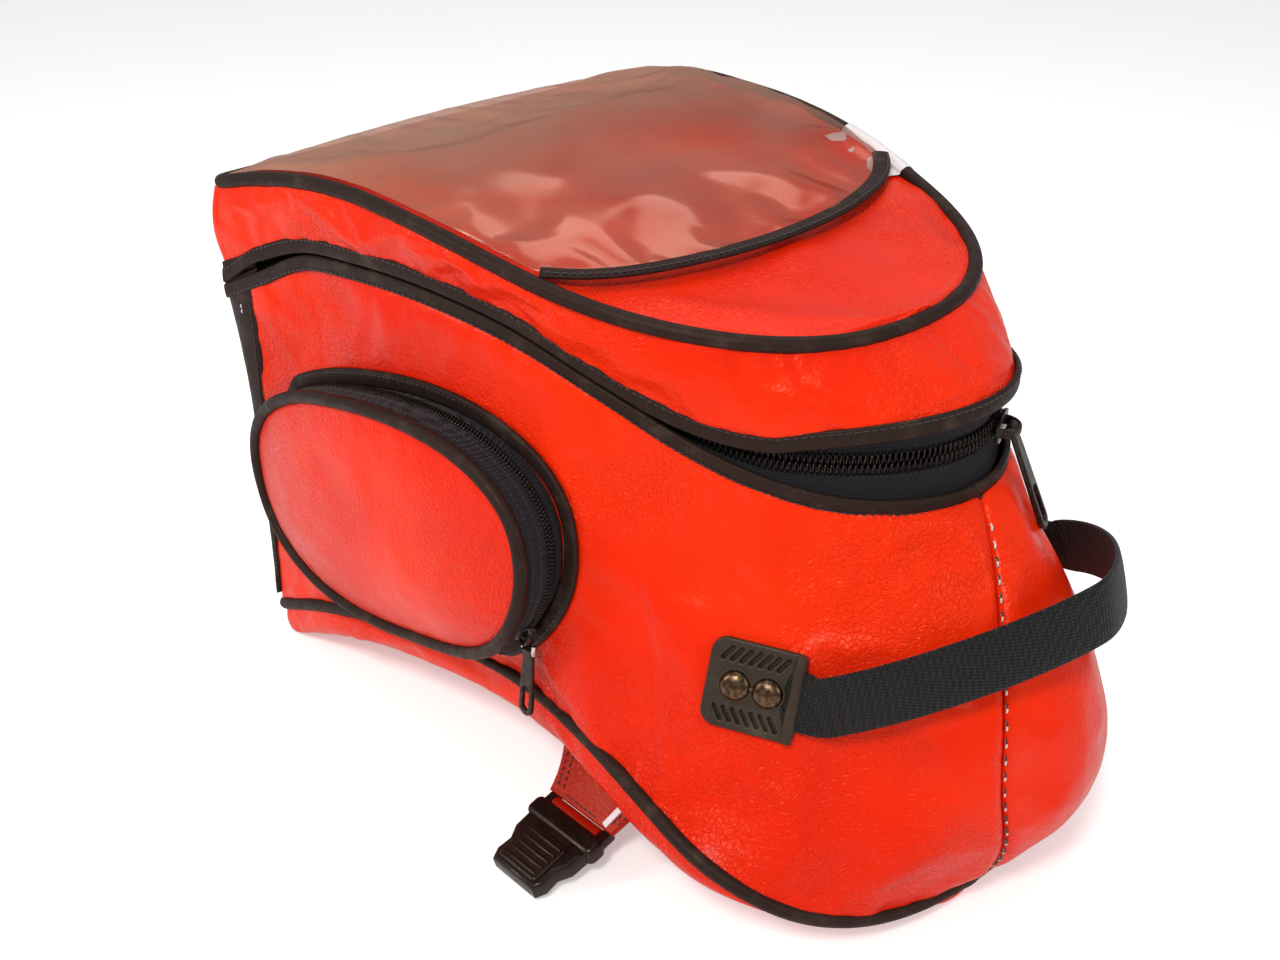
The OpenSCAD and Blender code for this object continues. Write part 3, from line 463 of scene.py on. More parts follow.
# ---- materials ----
class Nodes:
    """Short hand for building a node material."""

    def __init__(self, name):
        self.material = bpy.data.materials.new(name)
        self.material.use_nodes = True
        self.tree = self.material.node_tree
        self.surface = self.tree.nodes["Principled BSDF"]
        self.coords = self.add("ShaderNodeTexCoord").outputs["Object"]

    def add(self, kind, **settings):
        node = self.tree.nodes.new(kind)
        for key, value in settings.items():
            setattr(node, key, value)
        return node

    def feed(self, socket, value):
        if hasattr(value, "is_linked"):
            self.tree.links.new(value, socket)
        else:
            socket.default_value = value

    def noise(self, scale, detail=2.0, rough=0.5, coords=None, distortion=0.0):
        node = self.add("ShaderNodeTexNoise")
        self.feed(node.inputs["Vector"], coords or self.coords)
        node.inputs["Scale"].default_value = scale
        node.inputs["Detail"].default_value = detail
        node.inputs["Roughness"].default_value = rough
        node.inputs["Distortion"].default_value = distortion
        return node.outputs["Fac"]

    def cells(self, scale, feature="F1", coords=None, randomness=1.0):
        node = self.add("ShaderNodeTexVoronoi", feature=feature)
        self.feed(node.inputs["Vector"], coords or self.coords)
        node.inputs["Scale"].default_value = scale
        node.inputs["Randomness"].default_value = randomness
        return node.outputs["Distance"]

    def wave(self, scale, direction="X", coords=None, distortion=0.0, kind="SIN"):
        node = self.add("ShaderNodeTexWave", bands_direction=direction, wave_profile=kind)
        self.feed(node.inputs["Vector"], coords or self.coords)
        node.inputs["Scale"].default_value = scale
        node.inputs["Distortion"].default_value = distortion
        return node.outputs["Fac"]

    def math(self, operation, a, b=0.0, c=0.0):
        node = self.add("ShaderNodeMath", operation=operation)
        for socket, value in zip(node.inputs, (a, b, c)):
            self.feed(socket, value)
        return node.outputs[0]

    def ramp(self, value, low, high, a=0.0, b=1.0):
        node = self.add("ShaderNodeMapRange", interpolation_type="SMOOTHSTEP")
        for socket, v in zip(node.inputs, (value, low, high, a, b)):
            self.feed(socket, v)
        return node.outputs[0]

    def mix(self, factor, a, b):
        node = self.add("ShaderNodeMix", data_type="RGBA")
        self.feed(node.inputs[0], factor)
        self.feed(node.inputs[6], a)
        self.feed(node.inputs[7], b)
        return node.outputs[2]

    def warp(self, amount, scale):
        """The coordinates pushed about by noise, so that cells and waves aren't regular."""
        node = self.add("ShaderNodeTexNoise")
        self.feed(node.inputs["Vector"], self.coords)
        node.inputs["Scale"].default_value = scale
        shift = self.add("ShaderNodeVectorMath", operation="MULTIPLY_ADD")
        self.feed(shift.inputs[0], node.outputs["Color"])
        shift.inputs[1].default_value = (amount,) * 3
        self.feed(shift.inputs[2], self.coords)
        return shift.outputs[0]

    def stretch(self, x, y, z, coords=None):
        node = self.add("ShaderNodeVectorMath", operation="MULTIPLY")
        self.feed(node.inputs[0], coords or self.coords)
        node.inputs[1].default_value = (x, y, z)
        return node.outputs[0]

    def bump(self, heights):
        """Stacks (height, strength, distance in metres) into one normal."""
        normal = None
        for height, strength, distance in heights:
            node = self.add("ShaderNodeBump")
            self.feed(node.inputs["Height"], height)
            node.inputs["Strength"].default_value = strength
            node.inputs["Distance"].default_value = distance
            if normal is not None:
                self.feed(node.inputs["Normal"], normal)
            normal = node.outputs[0]
        self.feed(self.surface.inputs["Normal"], normal)

    def set(self, **values):
        names = {"color": "Base Color", "rough": "Roughness", "metal": "Metallic", "coat": "Coat Weight",
                 "coat_rough": "Coat Roughness", "sheen": "Sheen Weight", "specular": "Specular IOR Level",
                 "tint": "Specular Tint", "glow": "Emission Color", "glow_power": "Emission Strength"}
        for key, value in values.items():
            self.feed(self.surface.inputs[names[key]], value)
        return self.material


def leatherette(name, red, deep, seed=1.0):
    """Glossy coated fabric: pebble grain, finer pores, patches of creases with painted shade darkening them,
    and slow colour drift.
    """
    n = Nodes(name)
    drift = n.noise(9, 3)
    tone = n.mix(n.ramp(drift, 0.3, 0.7), red, deep)
    pebble = n.cells(560, "SMOOTH_F1", n.warp(0.0016, 240))
    pores = n.noise(1900, 2, 0.6)
    crease = n.cells(380, "DISTANCE_TO_EDGE", n.warp(0.005, 150), 1.0)
    crease = n.ramp(crease, 0.0, 0.16)
    patch = n.math("MULTIPLY", n.ramp(n.noise(11 + seed, 2), 0.42, 0.64), 0.85)
    crease = n.math("ADD", n.math("MULTIPLY", crease, patch), n.math("SUBTRACT", 1.0, patch))
    slow = n.noise(34, 2, 0.5)
    # Painted shade: inside the crease patches the colour darkens a tenth of the way to deep along the crease
    # lines.
    crease_shaded_tone = n.mix(n.math("MULTIPLY", n.math("SUBTRACT", 1.0, crease), 0.1), tone, deep)
    n.bump([(slow, 0.3, 0.004), (crease, 0.65, 0.00055), (pebble, 0.5, 0.0004), (pores, 0.25, 0.0002)])
    rough = n.ramp(n.noise(60, 3), 0.2, 0.8, 0.27, 0.36)
    return n.set(color=crease_shaded_tone, rough=rough, specular=0.32, tint=(1.0, 0.4, 0.22, 1), coat=0.035, coat_rough=0.2)


def trim(name, color, light):
    """Dark vinyl binding with a fine grain and paler rubbed patches."""
    n = Nodes(name)
    rub = n.ramp(n.noise(70, 4, 0.6), 0.52, 0.75)
    n.bump([(n.noise(420, 3, 0.6), 0.35, 0.0003), (n.cells(1300, "F1"), 0.3, 0.00015)])
    return n.set(color=n.mix(rub, color, light), rough=n.ramp(n.noise(200, 2), 0.3, 0.7, 0.45, 0.6),
                 specular=0.2,
                 tint=(1.0, 0.72, 0.62, 1))


def woven(name, color, light, pitch, lift=0.0006):
    """Basket weave of round yarns, pitch metres apart, in three directions so that it fits any slope."""
    n = Nodes(name)
    turns = math.pi / pitch / 10
    yarn = n.math("MULTIPLY", n.wave(turns, "X"), n.wave(turns, "Z"))
    cross = n.math("MULTIPLY", n.wave(turns, "Y"), n.wave(turns, "Z"))
    height = n.math("MAXIMUM", yarn, cross)
    fuzz = n.noise(2600, 2, 0.7)
    n.bump([(height, 0.8, lift), (fuzz, 0.4, 0.0002)])
    # Painted shade and highlight: the colour runs from color in the hollows between yarns to light on the
    # yarn crests.
    return n.set(color=n.mix(n.ramp(height, 0.1, 0.8), color, light), rough=0.72, sheen=0.06, specular=0.2)


def webbing(name):
    """Tight belt weave: rows of oval yarns, each row shifted by half a yarn."""
    n = Nodes(name)
    cells = n.cells(560, "F1", n.stretch(1.0, 1.0, 1.35, n.warp(0.0004, 700)), 0.12)
    yarn = n.ramp(cells, 0.15, 0.62, 1.0, 0.0)
    n.bump([(yarn, 0.95, 0.0009), (n.noise(3200, 2, 0.7), 0.3, 0.0002)])
    # Painted shade and highlight: darker between the yarns, a little lighter on their crests.
    color = n.mix(n.ramp(yarn, 0.2, 1.0), (0.002, 0.002, 0.002, 1), (0.014, 0.013, 0.015, 1))
    return n.set(color=color, rough=0.55, sheen=0.06, specular=0.22)


def plastic(name, color, light, rough=0.38, grain=900):
    n = Nodes(name)
    wear = n.ramp(n.noise(55, 5, 0.65), 0.5, 0.78)
    n.bump([(n.noise(grain, 3, 0.6), 0.25, 0.00025)])
    return n.set(color=n.mix(wear, color, light),
                 rough=n.ramp(n.noise(160, 3), 0.3, 0.7, rough, rough + 0.14),
                 specular=0.35, tint=(1.0, 0.8, 0.7, 1))


def metal(name, color, light, rough, metallic=1.0):
    n = Nodes(name)
    tarnish = n.ramp(n.noise(420, 4, 0.7), 0.38, 0.66)
    n.bump([(n.noise(1500, 3, 0.6), 0.15, 0.0001)])
    return n.set(color=n.mix(tarnish, color, light),
                 rough=n.ramp(n.noise(380, 2), 0.3, 0.7, rough, rough + 0.15),
                 metal=metallic)


def thread(name, color):
    n = Nodes(name)
    n.bump([(n.wave(900, "DIAGONAL"), 0.5, 0.0001)])
    return n.set(color=n.mix(n.noise(800, 2), color, tuple(c * 1.6 for c in color[:3]) + (1,)), rough=0.6,
                 sheen=0.2)


def clear_sheet(name):
    """Flexible clear vinyl: see-through near the nose, hazy and brownish towards the flat end."""
    n = Nodes(name)
    cloud = n.ramp(n.noise(13, 2, 0.4, distortion=0.6), 0.35, 0.7)
    n.bump([(n.noise(24, 1, 0.4, distortion=0.4), 0.5, 0.006), (n.noise(300, 2), 0.05, 0.0003)])
    film = n.set(color=(0.60, 0.27, 0.17, 1), rough=0.4, specular=0.3)
    place = n.add("ShaderNodeSeparateXYZ")
    n.feed(place.inputs[0], n.coords)
    flat_end = n.math("SUBTRACT", 1.0, n.ramp(place.outputs["X"], -0.19, 0.03))
    haze = n.math("ADD", n.math("MULTIPLY", flat_end, 0.5), n.math("MULTIPLY", cloud, 0.12))
    see_through = n.add("ShaderNodeBsdfTransparent")
    see_through.inputs["Color"].default_value = (0.93, 0.86, 0.84, 1)
    gloss = n.add("ShaderNodeBsdfAnisotropic")
    gloss.inputs["Roughness"].default_value = 0.2
    gloss.inputs["Color"].default_value = (0.62, 0.44, 0.36, 1)
    n.feed(gloss.inputs["Normal"], n.surface.inputs["Normal"].links[0].from_socket)
    facing = n.add("ShaderNodeLayerWeight")
    facing.inputs["Blend"].default_value = 0.3
    share = n.ramp(n.math("ADD", facing.outputs["Facing"], n.math("MULTIPLY", cloud, 0.15)), 0.1, 1.1, 0.05,
                   0.45)
    clear = n.add("ShaderNodeMixShader")
    n.feed(clear.inputs[0], haze)
    n.tree.links.new(see_through.outputs[0], clear.inputs[1])
    n.tree.links.new(n.surface.outputs[0], clear.inputs[2])
    mixed = n.add("ShaderNodeMixShader")
    n.feed(mixed.inputs[0], share)
    n.tree.links.new(clear.outputs[0], mixed.inputs[1])
    n.tree.links.new(gloss.outputs[0], mixed.inputs[2])
    n.tree.links.new(mixed.outputs[0], n.tree.nodes["Material Output"].inputs["Surface"])
    return film


RED = leatherette("red_leatherette", (0.87, 0.026, 0.002, 1), (0.72, 0.014, 0.002, 1))
# Painted shade: the strap tabs take a darker copy of the red leatherette, standing in for the shadow under
# the bag.
TAB_RED_PAINTED_SHADE = leatherette("red_leatherette_painted_shade", (0.42, 0.010, 0.002, 1), (0.33, 0.007, 0.002, 1), 2.0)
TRIM = trim("trim", (0.018, 0.010, 0.008, 1), (0.045, 0.028, 0.022, 1))
BLACK_PANEL = leatherette("black_leatherette", (0.022, 0.014, 0.012, 1), (0.012, 0.008, 0.007, 1), 3)
LINING = woven("lining", (0.012, 0.012, 0.014, 1), (0.035, 0.035, 0.04, 1), 0.0011)
TAPE = woven("zip_tape", (0.006, 0.005, 0.007, 1), (0.02, 0.018, 0.022, 1), 0.0008, 0.0003)
COIL = plastic("zip_coil", (0.012, 0.009, 0.009, 1), (0.03, 0.024, 0.022, 1), 0.2)
WEBBING = webbing("webbing")
PLATE = plastic("moulded_plate", (0.028, 0.02, 0.014, 1), (0.055, 0.042, 0.03, 1), 0.4, 1400)
BUCKLE = plastic("buckle_plastic", (0.008, 0.004, 0.003, 1), (0.020, 0.010, 0.007, 1), 0.22, 700)
BRONZE = metal("bronze", (0.06, 0.036, 0.020, 1), (0.17, 0.11, 0.065, 1), 0.24)
ENAMEL = metal("black_enamel", (0.012, 0.009, 0.008, 1), (0.05, 0.032, 0.022, 1), 0.22, 0.6)
STEEL = metal("bright_metal", (0.45, 0.42, 0.36, 1), (0.75, 0.72, 0.66, 1), 0.2)
CLEAR = clear_sheet("clear_vinyl")
WHITE = plastic("white_vinyl", (0.75, 0.7, 0.72, 1), (0.9, 0.88, 0.9, 1), 0.3, 500)
DARK_THREAD = thread("dark_thread", (0.012, 0.008, 0.01, 1))
PALE_THREAD = thread("pale_thread", (0.55, 0.5, 0.5, 1))


# ---- side pockets: the shape, on the right side ----
POCKET_X, POCKET_Z, POCKET_A, POCKET_B = -68.0, 121.0, 110.0, 60.0
POCKET_TILT, POCKET_ROUND = math.radians(15), 2.2
POCKET_DEPTH, POCKET_SHALLOW, TOOTH_SHARE = 23.0, 4.4, 0.36
LEAN = np.array([0.55, math.sqrt(1 - 0.55**2)])
ZIP_FROM, ZIP_TO = -62.0, 114.0


def wall_y(x, z):
    """How far out the bag's right side is at places in side view, by stepping over its surface."""
    x, z = np.broadcast_arrays(np.asarray(x, float), np.asarray(z, float))
    c, v, e = (x - END_X) / 12, np.full(x.shape, 0.4), 0.05
    for _ in range(14):
        along = (side_at(c + e, v) - side_at(c - e, v)) / (2 * e)
        down = (side_at(c, v + e) - side_at(c, v - e)) / (2 * e)
        miss = np.stack([x, 0 * x, z], -1) - side_at(c, v)
        area = along[..., 0] * down[..., 2] - down[..., 0] * along[..., 2]
        step = (miss[..., 0] * down[..., 2] - miss[..., 2] * down[..., 0]) / area
        drop = (along[..., 0] * miss[..., 2] - along[..., 2] * miss[..., 0]) / area
        c, v = np.clip(c + step, 0, NOSE - 0.1), np.clip(v + drop, 0, 1)
    return side_at(c, v)[..., 1]


def pocket_xz(angle, grow=0.0):
    a = np.radians(angle)
    e = 2 / POCKET_ROUND
    u = (POCKET_A + grow) * signed_power(np.cos(a), e)
    v = (POCKET_B + grow) * signed_power(np.sin(a), e)
    ct, st = math.cos(POCKET_TILT), math.sin(POCKET_TILT)
    return POCKET_X + u * ct - v * st, POCKET_Z + u * st + v * ct


def stand_off(x, z):
    across = (x - END_X) * LEAN[0] + (z - 24) * LEAN[1]
    return POCKET_SHALLOW + (POCKET_DEPTH - POCKET_SHALLOW) * ease((across - 60) / 170)


def pocket_at(angle, grow, share, lift=0.0):
    x, z = pocket_xz(angle, grow)
    ex, ez = pocket_xz(angle)
    return np.stack([x, wall_y(x, z) + stand_off(ex, ez) * share + lift, z], -1)


def pocket_cover(points, grow):
    """1 inside the pocket's outline grown by some millimetres, else 0."""
    x, z = points[..., 0] - POCKET_X, points[..., 2] - POCKET_Z
    ct, st = math.cos(POCKET_TILT), math.sin(POCKET_TILT)
    u, v = x * ct + z * st, -x * st + z * ct
    r = np.abs(u / (POCKET_A + grow)) ** POCKET_ROUND + np.abs(v / (POCKET_B + grow)) ** POCKET_ROUND
    return (r < 1).astype(float)


# ---- handle plates: where they sit ----
PLATE_C, PLATE_V, PLATE_W, PLATE_T, PLATE_LIFT = 0.7 * NOSE, 0.4, 37.0, 3.0, 0.6


def plate_frame():
    p, n = side_at(PLATE_C, PLATE_V), side_normal(PLATE_C, PLATE_V)
    u = unit(side_at(PLATE_C + 0.5, PLATE_V) - side_at(PLATE_C - 0.5, PLATE_V))
    d = unit(np.cross(n, u))
    return p, u, d, np.cross(u, d)


def matrix(p, x, y, z):
    m = np.eye(4)
    m[:3, 0], m[:3, 1], m[:3, 2], m[:3, 3] = x, y, z, p
    return m


# ---- body ----
BAND_TOP, BAND_FOOT = 23.0, 3.0
COL_MM = 12.0  # about how far one step round the bag goes


def band_cols(v):
    """Width of the black corner band, in steps."""
    length = np.linalg.norm(side_at(1, v) - side_at(0, v), axis=-1)
    return (BAND_TOP + (BAND_FOOT - BAND_TOP) * v**0.8) / length


def nose_line(v):
    """Where the sewn seam crosses the nose; it wanders towards the rider's left on its way down."""
    return NOSE + hermite([(0, 0), (0.16, 1.6), (0.3, 2.5), (0.56, 3.15), (0.79, 2.5), (1, 1.7)], v)


def side_panel(side):
    rows, cols = 48, 116
    v = np.linspace(0.004, 0.998, rows)[:, None]
    start = band_cols(v) * 0.8
    start = start if side == "right" else 2 * NOSE - start
    c = start + (nose_line(v) - start) * np.linspace(0, 1, cols)[None, :]
    v = np.broadcast_to(v, c.shape)
    grid, normals = side_at(c, v), side_normal(c, v)
    pins = edge_pins(rows, cols)
    pins = np.maximum(pins, pocket_cover(grid * [1, SIDES[side], 1], 9))
    plate = plate_frame()[0] * [1, SIDES[side], 1]
    pins = np.maximum(pins, (np.linalg.norm(grid - plate, axis=-1) < 25).astype(float))
    grid = settle(grid, pins, 0.016, 1.5, 5.0, flip=side == "right")
    edge = np.minimum(v, 1 - v)
    pucker = np.exp(-edge * 14) * (edge > 0.01) * ruffle(grid, 6.5, 3)
    off = np.abs(c - nose_line(v)) * COL_MM
    seam = np.exp(-((off / 2.2) ** 2)) * 1.1 - 0.5 * np.exp(-(((off - 5) / 3) ** 2))
    lift = (1 - pins) * (0.7 * ruffle(grid, 30, 1) + 0.3 * ruffle(grid, 13, 2) + 0.8 * pucker) - seam
    grid = grid + normals * lift[..., None]
    shape = skin(grid, normals, 3)
    piece(f"side_panel_{side}_leather", shape, "bag", [RED, LINING],
          [f"side_panel_{side}"], 1)


def corner_band(side):
    rows = 60
    v = np.linspace(0.0, 0.97, rows)[:, None]
    c = band_cols(v) * np.linspace(0.0, 1.0, 7)[None, :]
    c = c if side == "right" else 2 * NOSE - c
    v = np.broadcast_to(v, c.shape)
    normals = side_normal(c, v)
    dome = np.array([-0.2, 0.9, 1.3, 1.4, 1.35, 1.0, -0.3])
    flat = side_at(c, v)
    grid = flat + normals * dome[None, :, None] + normals * 0.3 * ruffle(flat, 12, 5)[..., None]
    tape = skin(grid, normals, 3.4)
    edge = grid[3:-3, 5] + normals[3:-3, 5] * 0.1
    seam = stitches(edge, normals[3:-3, 5], 3.4, 2.3, 0.28)
    painted(seam, 2)
    tip = stitches(grid[3:8, 3], normals[3:8, 3], 2.6, 1.8, 0.35)
    painted(tip, 3)
    piece(f"corner_band_{side}_tape", join([tape, seam, tip]), "bag",
          [TRIM, LINING, DARK_THREAD, PALE_THREAD], [f"corner_band_{side}"])


def front_panel():
    rows, cols = 40, 56
    v = np.linspace(0.0, 0.925, rows)
    edge = side_at(0.0, v)
    w = np.linspace(1, -1, cols)[None, :]
    grid = np.stack([edge[:, None, 0] + 0 * w, (edge[:, None, 1] - 1) * w, edge[:, None, 2] + 0 * w], -1)
    grid[..., 2] = grid[..., 2] + 12 * (1 - v[:, None]) ** 6
    normals = np.zeros(grid.shape)
    normals[..., 0] = -1
    grid = settle(grid, edge_pins(rows, cols), 0.012, 1.0, 4.0)
    grid[..., 0] -= 0.6 * ruffle(grid, 32, 7) + 0.25 * ruffle(grid, 12, 8)
    piece("front_panel_leather", skin(grid, normals, 3), "bag", [BLACK_PANEL, LINING],
          ["front_panel"], 1)


def hinge_tape():
    """Cloth sewn inside the hinge line to the flat end and to the lid."""
    low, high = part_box("lid_hinge_panel")
    middle, reach = low.z / MM, 11
    z, y = np.linspace(middle - reach, middle + reach, 23), np.linspace(-high.y / MM + 1, high.y / MM - 1, 60)
    tape = np.stack(np.broadcast_arrays(END_X + 4.2, y[None, :], z[:, None]), -1)
    tape[..., 0] += 0.3 * ruffle(tape, 12, 9)
    sheet = skin(tape, np.broadcast_to([-1.0, 0, 0], tape.shape), 0.8, 0)
    piece("lid_hinge_tape", sheet, ("bag", "lid", Vector((END_X * MM, 0, (middle - 6) * MM)),
                                    Vector((END_X * MM, 0, (middle + 6) * MM))), [LINING])


def foot_strip():
    low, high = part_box("foot_strip")
    w = high.y / MM
    top, x0 = high.z / MM, low.x / MM
    y = np.linspace(-w, w, 70)
    profile = np.array([(x0, top), (x0 - 0.6, top - 3), (x0 - 0.4, 19.5), (x0 + 6.5, 19.0), (x0 + 7.4, 10),
                        (x0 + 8.2, 1.2),
                        (x0 + 10, 0.1), (x0 + 11.8, 1.2), (x0 + 11.6, 21.5), (x0 + 5, 22), (x0 + 4.6, top)])
    rings = np.array([[(px, yy, pz) for px, pz in profile] for yy in y])
    rings[..., 0] += 0.4 * ruffle(rings, 22, 4) * (rings[..., 2] > 1)
    n, k = rings.shape[:2]
    faces = grid_faces(n, k, closed=True) + end_caps(n, k)
    strip = Shape(rings, faces)
    line = np.stack([0 * y + x0 - 0.5, y, 0 * y + top - 2.6], -1)
    seam = stitches(line, np.array([-1.0, 0, 0]), 3.4, 2.3, 0.3)
    painted(seam, 1)
    piece("foot_strip_leather", join([strip, seam]), "bag", [RED, DARK_THREAD],
          ["foot_strip"])


def closed_outline(line, inset=0.0):
    c = np.linspace(0, 72, 400)
    loop = at(line, c) - outward(line, c) * inset
    far, near = loop[-1], loop[0]
    t = np.linspace(0, 1, 60)[1:-1, None]
    return np.vstack([loop, far * (1 - t) + near * t])


def piping(name, line, body, nodes, radius):
    path = rounded_loop(closed_outline(line), 3.0, 12)
    swell = 1 + 0.03 * ruffle(path, 26, 2) + 0.015 * ruffle(path, 7, 3)
    cord = sweep(path, UP, ring(radius, 16), closed=True, scale=swell)
    piece(name, cord, body, [TRIM], nodes, 1)


LIP, LIP_ROWS, FLOOR_ROWS = 21.0, 9, 15


def base_panel():
    """The base hangs down in a soft lip below its piping before it turns under."""
    rows = 130
    c = np.linspace(0.55, 35.75, rows)[:, None]
    down = np.r_[np.linspace(0, 1, LIP_ROWS), np.ones(FLOOR_ROWS)][None, :]
    under = np.r_[np.zeros(LIP_ROWS), np.linspace(0.06, 1, FLOOR_ROWS)][None, :]
    edge = at(BASE, c[:, 0])
    out = outward(BASE, c[:, 0])
    tip = BASE[-1, 0] - edge[:, None, 0]
    lip = np.minimum(LIP, edge[:, None, 2] - 0.6) * (1 - 0.85 * ease((95 - tip) / 75))
    room = np.minimum(1, np.maximum(edge[:, None, 1], 1.2) / 25)
    inset = (0.4 + 1.6 * down**4 - 1.4 * np.sin(math.pi * down)) * room
    rim = edge[:, None] - out[:, None] * inset[..., None]
    x, y = rim[..., 0], np.maximum(rim[..., 1], 0.6) * (1 - under)
    pad = ease((80 - tip) / 30) * ease((62 - y) / 30)
    floor_z = edge[:, None, 2] - lip
    floor_z = floor_z * (1 - pad) + 0.3 * pad
    arch = 9 * np.sin(math.pi * np.clip((x - END_X - 10) / 313.5, 0, 1)) * (1 - (1 - under) ** 2)
    z = edge[:, None, 2] * (1 - down) + floor_z * down + arch - 2.0 * under * (1 - under) * (1 - pad)
    half = np.stack([x, y, z], -1)
    grid = np.concatenate([half, (half * [1, -1, 1])[:, -2::-1]], 1)
    normals = grid_normals(grid, np.array([0, 0, -1.0]) + np.sign(grid[..., 1:2]) * np.array([0, 0.6, 0]))
    cols = grid.shape[1]
    pins = edge_pins(rows, cols, 2)
    pins = np.maximum(pins, (grid[..., 2] < 2.5).astype(float))
    grid = settle(grid, pins, 0.01, 0.6, 2.5)
    lift = 0.5 * ruffle(grid, 28, 9) * (1 - pins)
    grid = grid + normals * lift[..., None]
    grid[..., 2] = np.maximum(grid[..., 2], 0.2)
    piece("base_panel_leather", skin(grid, normals, 2.2), "bag", [RED, LINING],
          ["base_panel"], 1)


def nose_seam():
    v = np.linspace(0.03, 0.96, 120)
    c = nose_line(v)
    p, n = side_at(c, v), side_normal(c, v)
    light = stitches(p + n * 0.1 + [0, 0.6, 0], n, 7.2, 3.0, 0.42)
    dark = stitches(p[6:] + n[6:] * 0.1 + [0, 0.6, 0], n[6:], 7.2, 3.2, 0.42)
    painted(dark, 1)
    piece("nose_seam_stitches", join([light, dark]), "bag", [PALE_THREAD, DARK_THREAD])
    rows = np.linspace(0.05, 0.93, 60)[:, None]
    around = nose_line(rows) + np.linspace(-0.6, 0.6, 7)[None, :]
    rows = np.broadcast_to(rows, around.shape)
    normals = side_normal(around, rows)
    grid = side_at(around, rows) - normals * (5.0 + 0.3 * ruffle(side_at(around, rows), 9, 41))[..., None]
    piece("nose_seam_tape_strip", skin(grid, normals, 1.0, 0), "bag", [LINING], ["nose_seam_tape"])


# ---- zip ----
def zip_mid(c):
    return (at(UPPER, c)[..., 2] + at(LOWER, c)[..., 2]) / 2


def zip_gap(c):
    return at(UPPER, c)[..., 2] - at(LOWER, c)[..., 2]


def corner_dip(c):
    """1 at the flat end's corners, fading to 0 along the zip."""
    return ease(1 - np.minimum(c, 2 * NOSE - c) / 2.6)


def zip_corners():
    """Black patches that close the zip's two ends and run down into the corner bands."""
    for name, sign, body in (("upper", 1, "lid"), ("lower", -1, "bag")):
        parts = []
        for side in SIDES.values():
            c = np.linspace(0.0, 2.0, 14)
            c = c if side > 0 else 2 * NOSE - c
            line = UPPER if sign > 0 else LOWER
            rows = []
            for f in np.linspace(0, 1, 7):
                p = at(line, c) + outward(line, c) * (0.4 - 2.2 * (1 - f) * (1 - corner_dip(c)))[:, None]
                z0 = zip_mid(c) + sign * 0.3
                p[:, 2] = z0 + (p[:, 2] + sign * 1.5 - z0) * f
                rows.append(p)
            grid = np.array(rows)
            normals = np.broadcast_to(outward(line, c), grid.shape)
            parts.append(skin(grid + normals * (0.25 * ruffle(grid, 9, 44))[..., None], normals, 1.4, 0))
        piece(f"{name}_zip_corner_patches", join(parts), body, [TRIM])


def binding(name, line, other, body, nodes):
    """Folded tape over a raw edge: the fold faces the zip, the stitched edge lies on the panel."""
    c = np.linspace(0.05, 71.95, 420)
    p, out = at(line, c), outward(line, c)
    p[:, 2] += (zip_mid(c) - p[:, 2]) * corner_dip(c) * (0.75 if line is UPPER else 0.1)
    away = unit(p - at(other, c))
    away = unit(away - out * (away * out).sum(-1, keepdims=True))
    lap = np.clip(zip_gap(c) / 2 - 0.5, 1.5, 3.8)
    reach = 3.8
    rings = []
    section = band(1.0, 1.0, taper=0.62)
    for k in range(len(c)):
        middle, half = (reach - lap[k]) / 2, (reach + lap[k]) / 2
        rings.append(p[k] + away[k] * (middle + section[:, :1] * half) + out[k]
                     * (0.5 + section[:, 1:] * 1.7))
    rings = np.array(rings)
    n, k = rings.shape[:2]
    faces = grid_faces(n, k, closed=True) + end_caps(n, k)
    tape = Shape(rings, faces)
    row = p + away * (reach - 1.3) + out * 1.75
    seam = stitches(row, out, 3.3, 2.3, 0.3)
    painted(seam, 1)
    piece(name, join([tape, seam]), body, [TRIM, DARK_THREAD], nodes)


def coil_path(c, height, phase, pitch, tall, deep, inset):
    """Winding of a nylon coil along the zip."""
    fine = np.linspace(c[0], c[1], 4000)
    base = at(UPPER, fine) - outward(UPPER, fine) * inset
    base[:, 2] = zip_mid(fine) + height
    run = run_of(base)
    s = np.arange(0, run[-1], pitch / 10)
    cc = np.interp(s, run, fine)
    p = along_run(s, run, base)
    a = 2 * math.pi * s / pitch + phase
    return p + outward(UPPER, cc) * (deep * np.sin(a))[:, None] + UP * (tall * np.cos(a))[:, None]


def zip_rows():
    for name, sign, body in (("upper", 1, "lid"), ("lower", -1, "bag")):
        path = coil_path((0.8, 71.2), sign * 2.2, 0 if sign > 0 else math.pi, 2.3, 2.3, 1.25, 5.3)
        coil = sweep(path, [0.3, 0.2, 1.0], ring(0.46, 5))
        piece(f"{name}_zip_coil", coil, body, [COIL], [f"{name}_zip_teeth"])
        c = np.linspace(0.6, 71.4, 300)
        reach = np.maximum(zip_gap(c) / 2 + 1.5, 5)
        rows = []
        for k in range(6):
            h = 3.0 + (reach - 3.0) * k / 5
            p = at(UPPER if sign > 0 else LOWER, c) - outward(UPPER, c) * (6.4 - 4.4 * (k / 5) ** 1.5)
            p[:, 2] = zip_mid(c) + sign * h
            rows.append(p)
        grid = np.array(rows)
        normals = np.broadcast_to(outward(UPPER, c), grid.shape)
        grid = grid + normals * (0.35 * ruffle(grid, 14, 6))[..., None]
        seam_row = 1
        row = stitches(grid[seam_row] + normals[seam_row] * 0.05, normals[seam_row], 2.6, 1.9, 0.2)
        painted(row, 1)
        piece(f"{name}_zip_fabric", join([skin(grid, normals, 1.0, 0), row]), body, [TAPE, DARK_THREAD],
              [f"{name}_zip_tape"])


